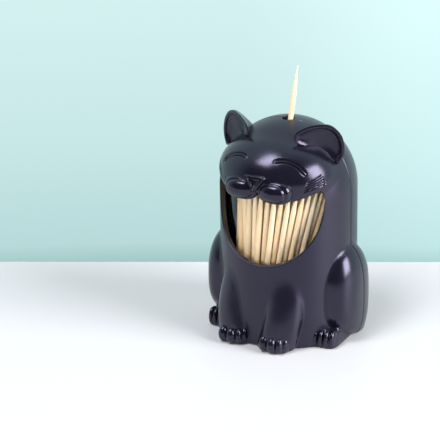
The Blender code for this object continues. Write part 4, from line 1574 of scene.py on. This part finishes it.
@dataclass
class ToothpickStore:
    """The ring of toothpicks in the cup, and the one that stands out of the crown."""

    pick: Toothpick = field(default_factory=Toothpick)
    count: int = 50
    cup_inner: float = 0.0229
    floor: float = 0.0039
    shoulder_share: float = 1.1
    top_gap: float = 0.0003
    drift_share: float = 0.3787
    drift_bearing: float = 118.5
    splay_share: float = 0.3886
    stagger_share: float = 0.1223
    crown_z: float = 0.0880
    crown_offset: float = 0.0010
    out_of_crown: float = 0.0217
    seed: int = 11
    tone_spread: tuple[float, float] = (1.6, 2.4)
    grain_places: float = 40.0
    grain_squash: float = 0.2
    grain_length: float = 60.0
    crease: float = 45.0

    def ends(self, index: int) -> tuple[Array, Array]:
        """Foot and top of a toothpick of the ring, as the frame has it.

        Args:
            index: its number, from 0.

        Returns:
            Its two ends.
        """
        outward = bearing_vectors(np.array(2 * math.pi * index / self.count))
        drift = bearing_vectors(np.radians(np.array(self.drift_bearing))) * self.drift_share * self.cup_inner
        inset = self.cup_inner * (self.splay_share + self.stagger_share * (index % 2))
        spread = (inset + drift @ outward) * self.pick.taper / self.pick.length
        shoulder = self.cup_inner - self.shoulder_share * self.pick.radius
        top = outward * min(self.cup_inner - self.top_gap, shoulder + spread)
        foot = top - outward * inset - drift
        foot[2] = self.floor + self.pick.point
        level = np.hypot(*(top - foot)[:2])
        top[2] = foot[2] + math.sqrt(self.pick.length**2 - level**2)
        return foot, top

    def dispensed_ends(self) -> tuple[Array, Array]:
        """Ends of the toothpick in the crown's hole.

        Returns:
            Its foot and top.
        """
        sideways = bearing_vectors(np.radians(np.array(self.drift_bearing)))
        lean = math.atan2(self.drift_share * self.cup_inner, self.pick.length)
        along = sideways * math.sin(lean) + UP * math.cos(lean)
        crown = sideways * self.crown_offset + UP * self.crown_z
        foot = crown - along * (self.pick.length - self.out_of_crown)
        return foot, foot + along * self.pick.length

    def make(self, name: str, foot: Array, top: Array, chance: np.random.Generator) -> bpy.types.Object:
        """Make one toothpick with its own tone, and a map that runs round it and along it.

        Args:
            name: the piece's name.
            foot: its lower end.
            top: its upper end.
            chance: source of the random draws.

        Returns:
            The toothpick.
        """
        sheets = Sheets()
        grid = self.pick.placed(foot, top, chance.uniform(0, 2 * math.pi))
        sheets.add_grid(grid, wrap=True, value=float(chance.beta(*self.tone_spread)))
        made = sheets.build(name, self.crease)
        along = (top - foot) / self.pick.length
        points = np.empty(len(made.data.vertices) * 3)
        made.data.vertices.foreach_get("co", points)
        points = points.reshape(-1, 3) - foot
        height = points @ along
        round_it = (points - height[:, None] * along)[:, :2] / self.pick.radius
        loops = np.empty(len(made.data.loops), np.int32)
        made.data.loops.foreach_get("vertex_index", loops)
        start = chance.uniform(0, self.grain_places)
        up = round_it[:, 1] * self.grain_squash + height * self.grain_length
        uv = np.stack([round_it[:, 0] + start, up + start], axis=1)
        layer = made.data.uv_layers.new(name="grain")
        layer.data.foreach_set("uv", uv[loops].astype(np.float32).ravel())
        return made

    def build(self, material: bpy.types.Material) -> None:
        """Make every toothpick.

        Args:
            material: their finish.
        """
        chance = np.random.default_rng(self.seed)
        for index in range(self.count):
            piece = self.make(f"pick_{index + 1:02d}", *self.ends(index), chance)
            finish_piece(piece, Body.BASE, material, Slot.WOOD, f"toothpick_{index + 1:02d}")
        piece = self.make("pick_in_crown", *self.dispensed_ends(), chance)
        finish_piece(piece, Body.PICK, material, Slot.WOOD, "dispensed_toothpick")


# Stage and camera


def sky_vector(bearing: float, rise: float) -> Vector:
    """Unit vector from the cat towards a bearing and a rise in degrees."""
    turn, tilt = math.radians(bearing), math.radians(rise)
    return Vector((math.sin(turn) * math.cos(tilt), -math.cos(turn) * math.cos(tilt), math.sin(tilt)))


@dataclass(frozen=True)
class Lamp:
    """Soft light of a width and a height that faces the cat, and that polish may show."""

    name: str
    bearing: float
    rise: float
    size: tuple[float, float]
    power: float
    colour: Point = (1.0, 1.0, 1.0)
    shows: bool = True
    away: float = 1.8
    aim_z: float = 0.04

    def hang(self) -> None:
        """Make the light."""
        light = bpy.data.lights.new(self.name, "AREA")
        light.shape = "RECTANGLE"
        light.size, light.size_y = self.size
        light.energy = self.power
        light.color = self.colour
        lamp = bpy.data.objects.new(self.name, light)
        lamp.visible_glossy = self.shows
        place = sky_vector(self.bearing, self.rise) * self.away
        lamp.location = place + Vector((0.0, 0.0, self.aim_z))
        lamp.rotation_euler = (-place).to_track_quat("-Z", "Y").to_euler()
        bpy.context.scene.collection.objects.link(lamp)


@dataclass
class Stage:
    """White table, soft lights, and a pale green room behind."""

    table_back: float = 0.0620
    table_turn: float = 0.048
    table_colour: Point = (0.60, 0.605, 0.62)
    table_roughness: float = 0.5
    table_side: float = 0.75
    table_front: float = 0.32
    table_drop: float = 0.00002
    wall: tuple[tuple[float, Point], ...] = (
        (0.02, (0.34, 0.57, 0.55)), (0.10, (0.48, 0.70, 0.70)),
        (0.45, (0.57, 0.79, 0.79)), (1.0, (0.66, 0.88, 0.88)))
    wall_rise: tuple[float, float] = (-0.392, -0.280)
    wall_turn: float = 0.0165
    wall_gain: float = 1.15
    gain_end: float = 0.11
    room_front: tuple[float, float] = (-0.35, 0.15)
    room_dim: Point = (0.022, 0.022, 0.030)
    room_share: float = 0.50
    lamps: tuple[Lamp, ...] = (
        Lamp("window_left", -29.0, 63.0, (0.55, 0.90), 25.0, (0.98, 0.97, 1.0)),
        Lamp("window_right", 91.0, 24.0, (0.95, 1.20), 58.0, (1.0, 0.98, 1.0)),
        Lamp("front_fill", -4.0, 16.0, (1.20, 0.50), 20.0, shows=False))

    def axes(self) -> tuple[Array, Array]:
        """Level unit vectors away from the camera, and to its right."""
        turn = math.radians(CAMERA_BEARING)
        sine, cosine = math.sin(turn), math.cos(turn)
        return np.array([-sine, cosine, 0.0]), np.array([cosine, sine, 0.0])

    def table(self) -> None:
        """Make the table top, which ends behind the cat."""
        back, right = self.axes()
        edge = (right - back * self.table_turn) * self.table_side
        near = -back * self.table_front
        corners = np.stack([
            back * self.table_back + edge, back * self.table_back - edge,
            near - right * self.table_side, near + right * self.table_side]) - UP * self.table_drop
        mesh = bpy.data.meshes.new("table_top")
        mesh.from_pydata(corners.tolist(), [], [(0, 1, 2, 3)])
        table = bpy.data.objects.new("table_top", mesh)
        bpy.context.scene.collection.objects.link(table)
        material = bpy.data.materials.new("table_white")
        NodeTree(material).shade({"Base Color": self.table_colour, "Roughness": self.table_roughness})
        dress(table, material)

    def world(self) -> None:
        """Colour the room: pale green behind the cat, dim in front, by the direction looked in."""
        world = bpy.data.worlds.new("room")
        bpy.context.scene.world = world
        tree = NodeTree(world, "Background")
        back, right = self.axes()
        way = tree.node("ShaderNodeTexCoord", {}).outputs["Generated"]
        level = tree.map_range(tree.dot(way, tuple(right * self.wall_turn + UP)), 0.0, 1.0, *self.wall_rise)
        ramp = tree.node("ShaderNodeValToRGB", {0: level})
        stops = ramp.color_ramp.elements
        while len(stops) < len(self.wall):
            stops.new(0.5)
        for stop, (place, colour) in zip(stops, self.wall):
            stop.position = place
            stop.color = (*colour, 1.0)
        side = tree.dot(way, tuple(right))
        gain = tree.map_range(side, 1.0, self.wall_gain, 0.0, self.gain_end, "SMOOTHSTEP")
        inputs = {0: ramp.outputs["Color"], "Scale": gain}
        bright = tree.node("ShaderNodeVectorMath", inputs, operation="SCALE")
        rays = tree.node("ShaderNodeLightPath", {}).outputs
        behind = tree.map_range(tree.dot(way, tuple(back)), 0.0, 1.0, *self.room_front)
        pale = tree.maths("MAXIMUM", rays["Is Camera Ray"], behind)
        seen = tree.maths("MAXIMUM", rays["Is Camera Ray"], rays["Is Glossy Ray"])
        seen = tree.maths("MAXIMUM", seen, rays["Is Transmission Ray"])
        tree.shade({
            "Color": tree.mix(pale, self.room_dim, bright.outputs["Vector"]),
            "Strength": tree.map_range(seen, self.room_share, 1.0)})

    def build(self) -> None:
        """Set the stage."""
        self.table()
        self.world()
        for lamp in self.lamps:
            lamp.hang()


@dataclass
class PhotoCamera:
    """Camera at the photograph's angle."""

    place: Point = (0.3667, -0.7335, 0.3728)
    bearing: float = CAMERA_BEARING
    rise: float = 21.801
    roll: float = -1.024
    lens: float = 180.0
    sensor: float = 36.0
    clip: tuple[float, float] = (0.01, 50.0)

    def build(self) -> None:
        """Make the camera and use it."""
        turn, lean = math.radians(self.bearing), math.radians(self.roll)
        back = sky_vector(self.bearing, self.rise)
        right = Vector((math.cos(turn), math.sin(turn), 0.0))
        up = back.cross(right)
        right, up = (
            right * math.cos(lean) + up * math.sin(lean), up * math.cos(lean) - right * math.sin(lean))
        camera = bpy.data.objects.new("photo_camera", bpy.data.cameras.new("photo_camera"))
        camera.data.lens = self.lens
        camera.data.sensor_width = self.sensor
        camera.data.clip_start, camera.data.clip_end = self.clip
        facing = Matrix((right, up, back)).transposed().to_4x4()
        camera.matrix_world = Matrix.Translation(self.place) @ facing
        bpy.context.scene.collection.objects.link(camera)
        bpy.context.scene.camera = camera


def main() -> None:
    """Build the dispenser's looks, piece by piece, and the stage round it."""
    logging.basicConfig(level=logging.INFO, format="%(message)s")
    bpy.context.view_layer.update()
    black = BlackPlastic().material()
    base_black = MattePlastic(
        "base_plastic_black", (0.022, 0.022, 0.026), (0.014, 0.014, 0.017), 0.48).material()
    white = MattePlastic("funnel_plastic_white", (0.80, 0.80, 0.77), (0.72, 0.72, 0.69), 0.42).material()
    rubber = MattePlastic("ring_rubber_black", (0.035, 0.035, 0.036), (0.025, 0.025, 0.026), 0.72).material()
    clear = ClearPlastic().material()
    wood = BirchWood().material()

    for part in (FrontShell(), RearShell(), Ears(), Muzzle(), Toes()):
        part.build(black)
    ClearCup().build(clear)
    ToothpickStore().build(wood)
    for node, material in (("base_cap", base_black), ("grip_ring", rubber), ("throat_funnel", white)):
        dress(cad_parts[node], material)

    Stage().build()
    PhotoCamera().build()
    bpy.context.scene.view_settings.view_transform = "Standard"


if __name__ == "__main__":
    main()
